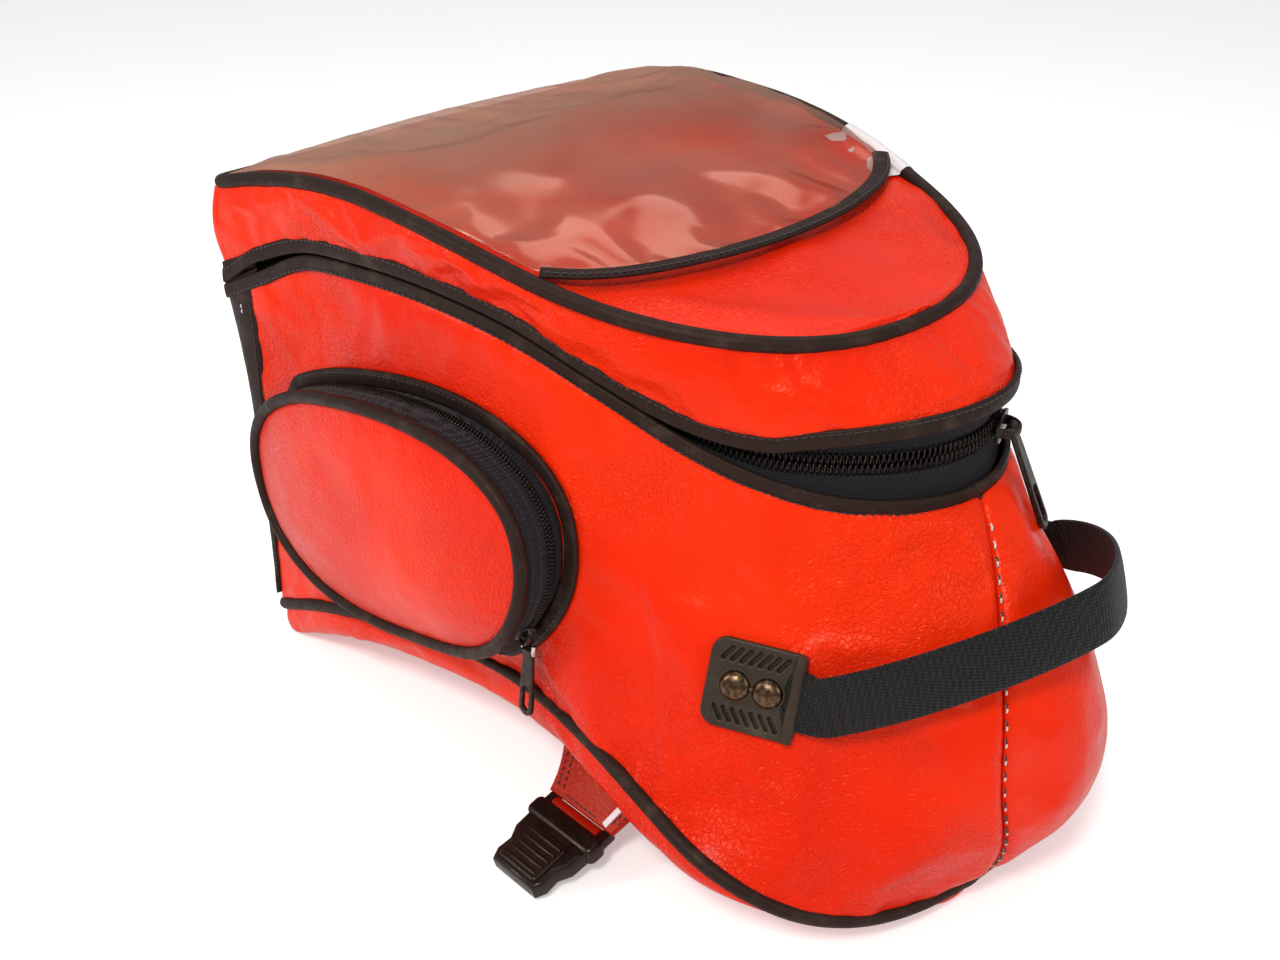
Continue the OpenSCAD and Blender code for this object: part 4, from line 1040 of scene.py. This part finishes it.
# ---- lid ----
def lid_gusset():
    rows, cols = 26, 260
    v = np.linspace(0.02, 0.985, rows)[:, None] + np.zeros((1, cols))
    c = np.linspace(0.03, 71.97, cols)[None, :] + np.zeros((rows, 1))
    grid = lid_side_at(c, v)
    hint = outward(UPPER, c)
    grid = settle(grid, edge_pins(rows, cols), 0.009, 2.0, 5.0, flip=True)
    normals = grid_normals(grid, hint)
    edge = np.minimum(v, 1 - v)
    pucker = 0.6 * np.exp(-edge * 16) * ruffle(grid, 6, 13)
    lift = 0.7 * ruffle(grid, 26, 11) + 0.3 * ruffle(grid, 11, 12) + pucker
    lift = lift * np.minimum(1, edge * 12)
    grid = grid + normals * lift[..., None]
    piece("lid_gusset_leather", skin(grid, normals, 3), "lid", [RED, LINING],
          ["lid_gusset"], 1)


def lid_end():
    """The lid's flat end: red above, black down to the hinge line."""
    low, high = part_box("lid_front_strip")
    hinge_low, hinge_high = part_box("lid_hinge_panel")
    for name, z0, z1, half, materials, node, slot in (
            ("lid_front_strip_leather", low.z / MM - 0.4, TOP[0, 2] - 1, TOP[0, 1] - 0.4, [RED, LINING],
             "lid_front_strip", "red_leatherette"),
            ("lid_hinge_leather", hinge_low.z / MM, hinge_high.z / MM + 1.2, UPPER[0, 1] - 0.6,
             [BLACK_PANEL, LINING],
             "lid_hinge_panel", "black_trim")):
        rows, cols = 14, 60
        z = np.linspace(z0, z1, rows)[:, None]
        w = np.linspace(-1, 1, cols)[None, :]
        t = (z - z0) / (z1 - z0)
        bulge = 3.2 * np.sin(math.pi * t) if node == "lid_front_strip" else 1.2 * np.sin(math.pi * t)
        grid = np.stack([END_X - bulge + 0 * w, half * w + 0 * z, z + 0 * w], -1)
        grid[..., 0] -= 0.4 * ruffle(grid, 20, 15)
        normals = np.zeros(grid.shape)
        normals[..., 0] = -1
        piece(name, skin(grid, normals, 2.6), "lid", materials, [node], 1)


def top_panel():
    rows, cols = 90, 41
    c = np.linspace(0.3, 35.7, rows)
    edge = at(TOP, c) - outward(TOP, c) * 1.0
    w = np.sin(np.linspace(-1, 1, cols) * math.pi / 2)[None, :]
    x = edge[:, None, 0] + 0 * w
    grid = np.stack([x, edge[:, None, 1] * w, np.interp(x, TOP[:, 0], TOP[:, 2]) + CROWN * (1 - w * w)], -1)
    grid = settle(grid, edge_pins(rows, cols), 0.008, 0.8, 3.0)
    normals = unit(grid_normals(grid, UP) + [0, 0, 3.0])
    grid = grid + normals * (0.5 * ruffle(grid, 30, 16) + 0.2 * ruffle(grid, 12, 17))[..., None]
    piece("top_panel_leather", skin(grid, normals, 3), "lid", [RED, LINING],
          ["top_panel"], 1)


WINDOW_L, WINDOW_EDGE_W = 240.0, 8.0


def window_edge(w):
    return END_X + WINDOW_L - 26 * w**2 - 12 * np.abs(w) ** 9


def map_window():
    rows, cols = 90, 70
    w = np.linspace(-1, 1, cols)[None, :]
    x = (END_X + 4) + (window_edge(w) - 3 - END_X - 4) * np.linspace(0, 1, rows)[:, None]
    grid = lid_top_at(x, w * 0.965, 2.6)
    grid = settle(grid, edge_pins(rows, cols), 0.02, 1.2, 5.0, bending=2.0)
    t = np.linspace(0, 1, rows)[:, None]
    inside = ease((1 - np.abs(w)) * 5) * ease(t * 6) * ease((1 - t) * 6)
    slow = grid * [1.0, 0.45, 1.0]
    waves = (2.0 * ruffle(slow, 38, 21) + 1.1 * ruffle(slow, 19, 22)) * (0.35 + 0.65 * ease((t - 0.25) * 2))
    grid[..., 2] += np.maximum(waves * inside, -1.6) + 0.6 * inside
    up = np.zeros(grid.shape)
    up[..., 2] = 1
    piece("map_window_sheet", skin(grid, up, 0.6, 0), "lid", [CLEAR], ["map_window"], 1)


def window_binding():
    w = np.linspace(-0.985, 0.985, 160)
    x = window_edge(w) - WINDOW_EDGE_W / 2 + 1
    path = lid_top_at(x, w * 0.972, 2.6)
    path[:, 2] += 0.4 * ruffle(path, 40, 23)
    ahead = unit(np.gradient(path, axis=0))
    tape = sweep(path, UP, band(4.0, 1.5, taper=0.7))
    front = unit(np.cross(ahead, UP))
    seam = stitches(path + front * 2.7 + [0, 0, 1.35], UP, 3.3, 2.3, 0.3)
    painted(seam, 1)
    piece("window_binding_tape", join([tape, seam]), "lid", [TRIM, DARK_THREAD],
          ["window_binding"], 0)


def window_tab():
    """Folded end of the clear sheet, wrapped over the piping on the rider's right."""
    c = np.linspace(17.0, 21.4, 30)
    p, o = at(TOP, c), outward(TOP, c)
    turn = np.radians(np.linspace(10, 175, 16))
    grid = np.array([p + o * (math.cos(a) * 4.1) + [0, 0, math.sin(a) * 4.1] for a in turn])
    flap = np.array([p - o * (4.1 + 4 * k) + [0, 0, 1.2 - 0.15 * k] for k in range(1, 4)])
    grid = np.vstack([grid, flap])
    normals = grid_normals(grid, UP + np.broadcast_to(o, grid.shape))
    grid = grid + normals * (0.35 * ruffle(grid, 8, 24))[..., None]
    piece("window_tab_fold", skin(grid, normals, 0.5, 0), "lid", [WHITE], ["window_tab"], 1)


# ---- zip sliders and pulls, in their own frames: X along the teeth or the pin, Y or -Z as noted ----
# Turns a flat plate in XY so that it stands in XZ
STANDING = np.array([[1, 0, 0, 0], [0, 0, -1, 0], [0, 1, 0, 0], [0, 0, 0, 1.0]])


def pull_shape(length, width, thick):
    """Pull tab in XZ hanging from its pin at the origin, with a long slotted hole."""
    half_top, half = width * 0.33, width / 2
    outline = [(-half_top, 2.2), (-half_top - 0.2, -3), (-half * 0.8, -9), (-half, -length + half + 4)]
    turn = np.linspace(math.pi, 2 * math.pi, 12)
    outline += [(half * math.cos(a), -length + half + half * math.sin(a)) for a in turn]
    outline += [(half, -length + half + 4), (half * 0.8, -9), (half_top + 0.2, -3), (half_top, 2.2)]
    hole = rounded_box(width * 0.46, length * 0.36, [width * 0.22] * 4, 0,
                       -length + length * 0.18 + width * 0.34)
    plate = cut_plate([outline, hole], thick, thick * 0.3)
    grip = sweep([(x, 0, 0) for x in np.linspace(-half_top, half_top, 7)], UP, ring(thick * 1.05, 12),
                 scale=[0.8, 1, 1, 1, 1, 1, 0.8])
    return join([plate.moved(STANDING), grip])


def slider_shape(length, width, depth, pin_y, pin_half):
    """Slider body with two wings, a crown over the pin and rounded shoulders; Y points out of the bag."""
    outline = [(-length / 2, -width * 0.34), (-length * 0.2, -width / 2), (length * 0.25, -width / 2),
               (length / 2, -width * 0.3), (length / 2, width * 0.3), (length * 0.25, width / 2),
               (-length * 0.2, width / 2), (-length / 2, width * 0.34)]
    parts = []
    for y in (1.0 + 0.9, -depth - 2.0):
        m = STANDING.copy()
        m[1, 3] = y
        parts.append(cut_plate([outline], 1.7, 0.6).moved(m))
    a = np.linspace(0.12, math.pi - 0.12, 17)
    arch = np.stack([np.cos(a) * length * 0.40, 1.4 + np.sin(a) * (pin_y + 1.2), 0 * a], -1)
    parts.append(sweep(arch, UP, band(1.1, width * 0.17, sides=14)))
    parts.append(sweep([(x, pin_y, 0) for x in np.linspace(-pin_half, pin_half, 5)], UP, ring(1.1, 10)))
    return join(parts)


def main_slider():
    joints = {j["name"]: j for j in frame["joints"]}
    pin = np.array(joints["main_pull_swing"]["pos_m"]) / MM
    axis = unit(np.array(joints["main_pull_swing"]["axis"], float))
    up = UP
    along = axis
    out = unit(np.cross(up, along))
    if out[0] < 0:
        along, out = -along, -out
    pin_y = 6.4
    place = matrix(pin - out * pin_y, along, out, np.cross(along, out))
    piece("main_slider_body", slider_shape(17, 12.5, 3, pin_y, 4.6).moved(place), "main_slider", [ENAMEL],
          ["main_slider"], flat_angle=35)
    lean = Matrix.Rotation(math.radians(24), 4, "X")
    sign = 1 if np.cross(along, out)[2] > 0 else -1
    swing = matrix(pin, along, out, np.cross(along, out)) @ np.array(lean)
    piece("main_pull_tab_body", pull_shape(46, 9.5, 2.4).moved(swing), "main_pull_tab", [ENAMEL],
          ["main_pull_tab"], flat_angle=35)


# ---- handle ----
def handle_plate(side):
    p, u, d, n = plate_frame()
    holes = []
    for edge in (-1, 1):
        for k in range(7):
            slot = rounded_box(1.6, 7.4, [0.78] * 4, steps=3)
            holes.append(slanted(slot, -35 * edge, -11.6 + 3.8 * k, edge * 12.4))
    outline = rounded_box(PLATE_W, PLATE_W, (6.5, 1.2, 1.2, 6.5))
    plate = cut_plate([outline] + holes, PLATE_T, 0.8)
    lift = np.eye(4)
    lift[2, 3] = PLATE_LIFT + PLATE_T / 2
    backing = cut_plate([rounded_box(PLATE_W - 3, PLATE_W - 3, (5, 1, 1, 5))], 1.2, 0.3)
    low = np.eye(4)
    low[2, 3] = PLATE_LIFT + 0.2
    half = PLATE_W / 2
    ridge = sweep([(half - 0.8, y, 2.6 + PLATE_LIFT) for y in np.linspace(-half + 0.6, half - 0.6, 15)], UP,
                  band(2.6, 2.9, power=2.6), scale=[0.8, 0.95] + [1] * 11 + [0.95, 0.8])
    bosses = [lathe([(0, 0), (7.3, 0), (7.3, 0.5), (6.9, 0.8),
                     (0, 0.8)]).moved(matrix((x, 0, PLATE_LIFT + PLATE_T - 0.2), *np.eye(3)))
              for x in (-6.4, 6.9)]
    rib = sweep([(x, 0, PLATE_LIFT + PLATE_T) for x in np.linspace(-3, 3.4, 5)], UP, ring(1.2, 8))
    place = matrix(p, u, d, n)
    shape = join([plate.moved(lift), backing.moved(low), ridge,
                  rib] + bosses).moved(place).on_side(SIDES[side])
    piece(f"handle_plate_{side}_moulding", shape, "bag", [PLATE], [f"handle_plate_{side}"],
          flat_angle=32)


def rivets():
    p, u, d, n = plate_frame()
    profile = [(0, 2.0), (6.2, 2.0), (6.5, 2.4), (6.35, 2.9)]
    profile += [(6.1 * math.cos(a), 3.0 + 3.1 * math.sin(a)) for a in np.linspace(0.12, 1.5, 12)] + [(0, 6.1)]
    parts = []
    for sign in SIDES.values():
        for x in (-6.4, 6.9):
            cap = lathe(profile, 40).moved(matrix((x, 0, PLATE_LIFT + 0.6), *np.eye(3)))
            parts.append(cap.moved(matrix(p, u, d, n)).on_side(sign))
    piece("handle_rivet_caps", join(parts), "bag", [BRONZE], ["handle_rivets"])


STRAP_REACH, STRAP_RISE, STRAP_ROUND, STRAP_LEAN = 68.0, 40.0, 1.5, math.radians(18)


def handle_strap():
    p, u, d, n = plate_frame()
    pivot = p + u * (PLATE_W / 2 + 9.5) + n * (PLATE_LIFT + 5.0)
    k = np.linspace(-1, 1, 181)
    a = np.radians(np.sign(k) * (1 - (1 - np.abs(k)) ** 1.6) * 86)
    r = np.cos(a) ** (2 / STRAP_ROUND)
    middle = np.stack([pivot[0] + STRAP_REACH * r,
                       pivot[1] * np.sign(a) * np.abs(np.sin(a)) ** (2 / STRAP_ROUND),
                       pivot[2] + STRAP_RISE * r], -1)
    tuck = np.linspace(1, 0, 14)[:, None]
    start = p + u * (PLATE_W / 2 - 7) + n * (PLATE_LIFT + 0.9)
    lead = pivot + (start - pivot) * tuck
    path = np.vstack([lead * [1, -1, 1], middle[3:-3], lead[::-1]])
    run = run_of(path)
    s = np.linspace(0, run[-1], 220)
    path = along_run(s, run, path)
    for _ in range(6):
        path[1:-1] = path[1:-1] * 0.5 + (path[:-2] + path[2:]) * 0.25
    lean = np.array([-math.sin(STRAP_LEAN), 0, math.cos(STRAP_LEAN)])
    near_end = ease((26 - np.minimum(s, s[-1] - s)) / 20)[:, None]
    plate_up = np.where(path[:, 1:2] > 0, d, d * [1, -1, 1])
    plate_up = plate_up * np.sign(plate_up[:, 2:3])
    up = unit(lean * (1 - near_end) + plate_up * near_end)
    tangent = unit(np.gradient(path, axis=0))
    out = unit(np.cross(tangent, up))
    width = 12.3
    cupped = band(width, 1.25, sides=36, power=5)
    cupped[:, 1] += 0.5 * (1 - (cupped[:, 0] / width) ** 2)
    strap = sweep(path, out, cupped)
    pivot_z = pivot[2]
    piece("handle_strap_webbing", strap, ("bag", "handle", Vector(((pivot[0] - 6) * MM, 0, pivot_z * MM)),
          Vector(((pivot[0] + 20) * MM, 0, pivot_z * MM))), [WEBBING], ["handle_strap"])


# ---- side pockets ----
def flap_blend(side):
    """The bag, the flap and two points along the flap from its hinge towards the zip."""
    hinge = Vector(joint_pos(f"pocket_hinge_{side}"))
    start = hinge + Vector((LEAN[0], 0, LEAN[1])) * 0.002
    end = hinge + Vector((LEAN[0], 0, LEAN[1])) * 0.055
    return ("bag", f"pocket_flap_{side}", start, end)


def pocket_panel(side):
    rows, cols = 30, 160
    angle = np.linspace(0, 360, cols, endpoint=False)
    rim = pocket_at(angle, -2.0, 1.0)
    w = np.linspace(1, 0.02, rows)
    middle = np.array([POCKET_X, float(wall_y(np.array(POCKET_X), np.array(POCKET_Z)))
                       + (POCKET_DEPTH + POCKET_SHALLOW) / 2, POCKET_Z])
    grid = np.empty((rows, cols, 3))
    for k, s in enumerate(w):
        grid[k, :, 0] = middle[0] + (rim[:, 0] - middle[0]) * s
        grid[k, :, 2] = middle[2] + (rim[:, 2] - middle[2]) * s
        grid[k, :, 1] = middle[1] + (rim[:, 1] - middle[1]) * s * s + 10.5 * (1 - s**2.6)
    grid[..., 1] *= SIDES[side]
    grid = np.concatenate([grid, grid[:, :1]], 1)
    hint = np.array([0, SIDES[side], 0.0])
    normals = grid_normals(grid, hint)
    normals[:, -1] = normals[:, 0]
    edge = (1 - w)[:, None]
    lift = 0.6 * ruffle(grid, 26, 31) + 0.3 * ruffle(grid, 12, 32)
    pucker = 0.9 * np.exp(-edge * 12) * ruffle(grid, 8, 33) * np.minimum(1, edge * 20)
    lift = lift * np.minimum(1, edge * 6) + pucker
    grid = grid + normals * lift[..., None]
    outer = grid[:, :-1]
    n, k = outer.shape[:2]
    inner = outer - normals[:, :-1] * 2.6
    front = grid_faces(n, k, closed=True) + [tuple((n - 1) * k + j for j in range(k))]
    back = [tuple(i + n * k for i in reversed(f)) for f in front]
    rim_faces = [(j, j + n * k, (j + 1) % k + n * k, (j + 1) % k) for j in range(k)]
    shape = Shape(np.concatenate([outer.reshape(-1, 3), inner.reshape(-1, 3)]), front + back + rim_faces,
                  [0] * len(front) + [1] * len(back) + [0] * len(rim_faces))
    piece(f"pocket_panel_{side}_leather", shape, flap_blend(side), [RED, LINING],
          [f"pocket_panel_{side}"], 1)


def pocket_piping(side):
    path = rounded_loop(pocket_at(np.linspace(0, 360, 240, endpoint=False), 0, 1.0), 2.6, 2)
    swell = 1 + 0.03 * ruffle(path, 20, 2)
    cord = sweep(path, [0, 1.0, 0], ring(3.2, 16), closed=True, scale=swell).on_side(SIDES[side])
    piece(f"pocket_piping_{side}_cord", cord, flap_blend(side), [TRIM],
          [f"pocket_piping_{side}"], 1)


def pocket_bands(side):
    """Bound edge on the bag, the two fabric bands and the two coils of the pocket's zip."""
    sign = SIDES[side]
    a = np.linspace(ZIP_FROM - 1, ZIP_TO + 1, 220)
    base, top = pocket_at(a, 0, 0), pocket_at(a, 0, 1)
    x, z = pocket_xz(a)
    px, pz = pocket_xz(a, 4)
    away = unit(np.stack([px - x, 0 * x, pz - z], -1))
    reach = np.linspace(ZIP_FROM - 4, ZIP_TO + 12, 220)
    edge = pocket_at(reach, 4.6 - 3.4 * ease((reach - ZIP_TO) / 12), 0, 1.4)
    ends = np.minimum(1, 0.25 + np.minimum(np.arange(len(a)), np.arange(len(a))[::-1]) / 14)
    tape = sweep(edge, [0, 1.0, 0], band(3.9, 1.6, taper=0.75), scale=ends)
    row = stitches(pocket_at(a, 6.6, 0, 2.8), [0, 1.0, 0], 3.2, 2.2, 0.28)
    painted(row, 1)
    piece(f"pocket_binding_{side}_tape", join([tape, row]).on_side(sign), "bag", [TRIM, DARK_THREAD],
          [f"pocket_binding_{side}"])
    bulge = 1.4

    def wall(from_share, to_share, rows):
        shares = np.linspace(from_share, to_share, rows)
        grid = np.array([base + (top - base) * s + away * bulge * math.sin(math.pi * s) for s in shares])
        normals = np.broadcast_to(away, grid.shape)
        grid = grid + normals * (0.3 * ruffle(grid, 9, 35))[..., None]
        return grid, normals

    grid, normals = wall(0.02, TOOTH_SHARE - 0.03, 5)
    piece(f"pocket_gusset_{side}_fabric", skin(grid, normals, 1.0, 0).on_side(sign), "bag", [TAPE],
          [f"pocket_gusset_{side}"])
    grid, normals = wall(TOOTH_SHARE + 0.03, 0.93, 10)
    rows = [skin(grid, normals, 1.0, 0)]
    for k in (3, 6, 8):
        seam = stitches(grid[k] + normals[k] * 0.1, normals[k], 2.7, 1.9, 0.22)
        painted(seam, 1)
        rows.append(seam)
    for share, sweep_phase, body, name, node in ((-0.035, 0.0, "bag", "pocket_coil", "pocket_teeth"),
                                                 (0.035, math.pi, None, "pocket_flap_coil", None)):
        rise = bulge * math.sin(math.pi * TOOTH_SHARE) + 0.3
        centre = base + (top - base) * (TOOTH_SHARE + share) + away * rise
        run = run_of(centre)
        s = np.arange(0, run[-1], 0.17)
        p = along_run(s, run, centre)
        o = unit(along_run(s, run, away))
        turn = 2 * math.pi * s / 1.7 + sweep_phase
        path = p + o * (0.9 * np.sin(turn))[:, None] + np.array([0, 1.0, 0]) * (1.15 * np.cos(turn))[:, None]
        coil = sweep(path, [0.3, 0.4, 1.0], ring(0.34, 5))
        if body:
            piece(f"{name}_{side}", coil.on_side(sign), body, [COIL], [f"{node}_{side}"])
        else:
            painted(coil, 2)
            rows.append(coil)
    piece(f"pocket_flap_zip_{side}", join(rows).on_side(sign), flap_blend(side), [TAPE, DARK_THREAD, COIL],
          [f"pocket_flap_teeth_{side}"])
    end = sweep([pocket_at(np.array(ZIP_FROM - 3.0), 2, s, 0.5) for s in np.linspace(0, 0.9, 8)],
                [0.3, -1.0, -0.2],
                band(4.6, 1.4, sides=14), scale=[0.9] + [1] * 6 + [0.8])
    piece(f"pocket_zip_end_{side}", end.on_side(sign), "bag", [TRIM])


def pocket_zip_parts(side):
    sign = SIDES[side]
    pin = joint_pos(f"pocket_pull_swing_{side}") / MM * [1, sign, 1]
    a = np.linspace(-44, -28, 9)
    line = pocket_at(a, 0, TOOTH_SHARE, 0)
    along = unit(line[-1] - line[0])
    centre = line[4]
    out = unit(np.array([0.55, 0.5, -0.62]))
    out = unit(out - along * (out @ along))
    place = matrix(centre + out * 1.1, along, out, np.cross(along, out))
    body = slider_shape(11, 8, 2.2, 3.6, 1.0).moved(place)
    reach = sweep([centre + out * 2.6, centre * 0.45 + pin * 0.55 + [0, 0, 1.2], pin + [0, 0, 2.6]],
                  [1.0, 0, 0], band(2.6, 1.1, sides=12))
    eye = join([sweep([pin + [x, 0, 3.2], pin + [x, 0.6, 0.6], pin + [x * 0.9, 0, -1.4]], [1.0, 0, 0],
                      ring(1.0, 8))
                for x in (-3.2, 3.2)])
    bar = sweep([pin + [x, 0, 0] for x in (-3.4, -1, 1, 3.4)], UP, ring(1.1, 10))
    for part in (eye, bar):
        painted(part, 1)
    piece(f"pocket_slider_{side}_body", join([body, reach, eye, bar]).on_side(sign), f"pocket_slider_{side}",
          [ENAMEL, STEEL], [f"pocket_slider_{side}"], flat_angle=35)
    tilt = np.array(Matrix.Rotation(math.radians(6), 4, "X"))
    pull = pull_shape(33, 8.4, 2.0).moved(matrix(pin, *np.eye(3)) @ tilt).on_side(sign)
    piece(f"pocket_pull_{side}_body", pull, f"pocket_pull_{side}", [ENAMEL],
          [f"pocket_pull_{side}"],
          flat_angle=35)


# ---- strap tabs and buckles ----
TAB_FALL, BUCKLE_FALL = math.radians(48), math.radians(14)


def falling(joint, fall):
    """Place of a strap part at its hinge: X along the hinge, Y down and away from the bag."""
    return matrix(joint_pos(joint) / MM, (1, 0, 0), (0, math.cos(fall), -math.sin(fall)),
                  (0, math.sin(fall), math.cos(fall)))


def strap_tab(side):
    length = 36.0
    bend = np.linspace(0, 1, 9)
    left = [(-35 + 14.5 * math.sin(t * math.pi / 2) ** 0.7, t * (length - 4)) for t in bend]
    right = [(36 - 15.5 * t**0.8, t * (length - 4)) for t in bend]
    outline = right + left[::-1]
    body = cut_plate([outline], 3.0, 1.0)
    loop = sweep([(x, length, 0) for x in np.linspace(-14.6, 14.6, 9)], UP, ring(3.6, 16))
    root = sweep([(x, 0.5, 0) for x in np.linspace(-34, 34, 13)], UP, ring(1.8, 10))
    rows = []
    for x0, x1 in ((-24, -16.5), (-20.5, -13), (27, 17.5), (31.5, 19.5)):
        row = [(x0 + (x1 - x0) * t, 2 + (length - 8) * t, 1.55) for t in np.linspace(0, 1, 12)]
        rows.append(stitches(row, UP, 3.2, 2.2, 0.32))
    rows.append(stitches([(x, length - 6.5, 1.55) for x in np.linspace(-13, 13, 12)], UP, 3.0, 2.1, 0.32))
    for row in rows:
        painted(row, 1)
    line = [(24 - 9 * t, 2 + (length - 8) * t, 1.7) for t in np.linspace(0.35, 1, 8)]
    edge = sweep(line, UP, band(1.5, 0.5, sides=12))
    painted(edge, 2)
    shape = join([body, loop, root, edge] + rows)
    shape = shape.moved(falling("strap_tab_hinge_right", TAB_FALL)).on_side(SIDES[side])
    # The tab takes the darkened red: painted shade for the shadow under the bag.
    piece(f"strap_tab_{side}_leather", shape, f"strap_tab_{side}", [TAB_RED_PAINTED_SHADE, DARK_THREAD, WHITE],
          [f"strap_tab_{side}"], flat_angle=40)


def buckle(side):
    """Ribbed housing of a side-release buckle; the CAD housing with softened edges."""
    length, width = 38.0, 38.0
    place = falling("buckle_hinge_right", BUCKLE_FALL)
    def layer(outlines, z, thick, bevel):
        m = np.eye(4)
        m[2, 3] = z
        return cut_plate(outlines, thick, bevel).moved(m)
    shoulder = rounded_box(width + 4, 10, (3, 3, 3.5, 3.5), 0, 6.8)
    half = width / 2
    right = [(half - 0.5, 9), (half - 1, 20), (half - 4.2, 26), (half - 3.6, 33), (half - 6, length)]
    left = [(-x, y) for x, y in reversed(right)]
    taper = left[-1:] + right + left[:-1]
    arms = [rounded_box(4.4, 14, (1.5, 1.5, 1.5, 1.5), s * (width / 2 - 1.8), 1.5) for s in (-1, 1)]
    parts = [layer([shoulder], 0.6, 9.6, 2.0), layer([taper], 0, 9.0, 1.8)]
    parts += [layer([a], 0, 7, 1.6) for a in arms]
    parts.append(layer([rounded_box(24, 21, (3, 3, 2, 2), 0, 25)], 4.6, 2.2, 0.9))
    for k in range(5):
        parts.append(sweep([(x, 17.5 + 3.7 * k, 5.6) for x in np.linspace(-10, 10, 7)], UP,
                           band(0.95, 0.9, sides=10), scale=[0.6, 0.9, 1, 1, 1, 0.9, 0.6]))
    parts.append(sweep([(x, 0, 0) for x in np.linspace(-17, 17, 5)], UP, ring(1.9, 12)))
    shape = join(parts).moved(place).on_side(SIDES[side])
    piece(f"buckle_{side}_housing", shape, f"buckle_{side}", [BUCKLE], [f"buckle_{side}"],
          flat_angle=35)


# ---- assembly ----
for side in SIDES:
    side_panel(side)
    corner_band(side)
    handle_plate(side)
    pocket_panel(side)
    pocket_piping(side)
    pocket_bands(side)
    pocket_zip_parts(side)
    strap_tab(side)
    buckle(side)
front_panel()
hinge_tape()
foot_strip()
base_panel()
nose_seam()
piping("base_piping_cord", BASE, "bag", ["base_piping"], 3.3)
piping("top_piping_cord", TOP, "lid", ["top_piping"], 3.4)
binding("upper_zip_binding_tape", UPPER, LOWER, "lid", ["upper_zip_binding"])
binding("lower_zip_binding_tape", LOWER, UPPER, "bag", ["lower_zip_binding"])
zip_rows()
zip_corners()
main_slider()
rivets()
handle_strap()
lid_gusset()
lid_end()
top_panel()
map_window()
window_binding()
window_tab()
for name in ("base_board", "lid_board"):
    node = frame["nodes"][name]
    node.data.materials.clear()
    node.data.materials.append(LINING)


# ---- light, floor and camera ----
WORLD_LIGHT, FLOOR_GLOW = 0.42, 0.38  # the world lights the bag less brightly than the camera sees it


def floor_material():
    n = Nodes("floor")
    n.bump([(n.noise(40, 2), 0.05, 0.001)])
    seen = n.add("ShaderNodeLightPath").outputs["Is Camera Ray"]
    return n.set(color=n.mix(n.noise(3, 2), (0.93, 0.93, 0.93, 1), (0.96, 0.96, 0.96, 1)), rough=0.7,
                 glow=(1, 1, 1, 1), glow_power=n.math("MULTIPLY", seen, FLOOR_GLOW))


def floor():
    data = bpy.data.meshes.new("floor")
    s = 6.0
    data.from_pydata([(-s, -s, 0), (s, -s, 0), (s, s, 0), (-s, s, 0)], [], [(0, 1, 2, 3)])
    data.materials.append(floor_material())
    obj = bpy.data.objects.new("floor", data)
    scene.collection.objects.link(obj)
    obj.location.z = min(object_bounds()[0].z, 0.0) - 0.0002
    obj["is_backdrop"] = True


def area_light(name, place, aim, size, power, color=(1, 1, 1), size_y=None):
    data = bpy.data.lights.new(name, "AREA")
    data.energy, data.size, data.color = power, size, color
    if size_y:
        data.shape, data.size_y = "RECTANGLE", size_y
    obj = bpy.data.objects.new(name, data)
    obj.location = place
    obj.rotation_euler = (Vector(aim) - Vector(place)).to_track_quat("-Z", "Y").to_euler()
    scene.collection.objects.link(obj)


def lights():
    world = bpy.data.worlds.new("studio")
    world.use_nodes = True
    tree = world.node_tree
    tree.nodes["Background"].inputs["Color"].default_value = (1, 1, 1, 1)
    seen = tree.nodes.new("ShaderNodeLightPath").outputs["Is Camera Ray"]
    strength = tree.nodes.new("ShaderNodeMapRange")
    strength.inputs["To Min"].default_value, strength.inputs["To Max"].default_value = WORLD_LIGHT, 1.0
    tree.links.new(seen, strength.inputs["Value"])
    tree.links.new(strength.outputs[0], tree.nodes["Background"].inputs["Strength"])
    scene.world = world
    centre = (0, 0, 0.12)
    area_light("key", (0.5, -0.9, 1.2), centre, 0.25, 11, (1.0, 0.97, 0.93))
    area_light("window", (-0.55, -1.0, 0.75), (-0.1, -0.1, 0.15), 0.10, 4, (1, 0.97, 0.94), 0.6)
    area_light("top", (-0.2, 0.3, 1.4), centre, 0.9, 5)
    area_light("nose", (1.3, 0.2, 0.7), centre, 0.5, 3)


def camera():
    data = bpy.data.cameras.new("camera")
    data.lens, data.sensor_width = 41.7, 36
    data.clip_start, data.clip_end = 0.01, 50
    obj = bpy.data.objects.new("camera", data)
    obj.location = (0.428, -0.4493, 0.4768)
    aim = Vector((-0.038, 0.0006, 0.0988))
    obj.rotation_euler = (aim - obj.location).to_track_quat("-Z", "Y").to_euler()
    scene.collection.objects.link(obj)
    scene.camera = obj


floor()
lights()
camera()
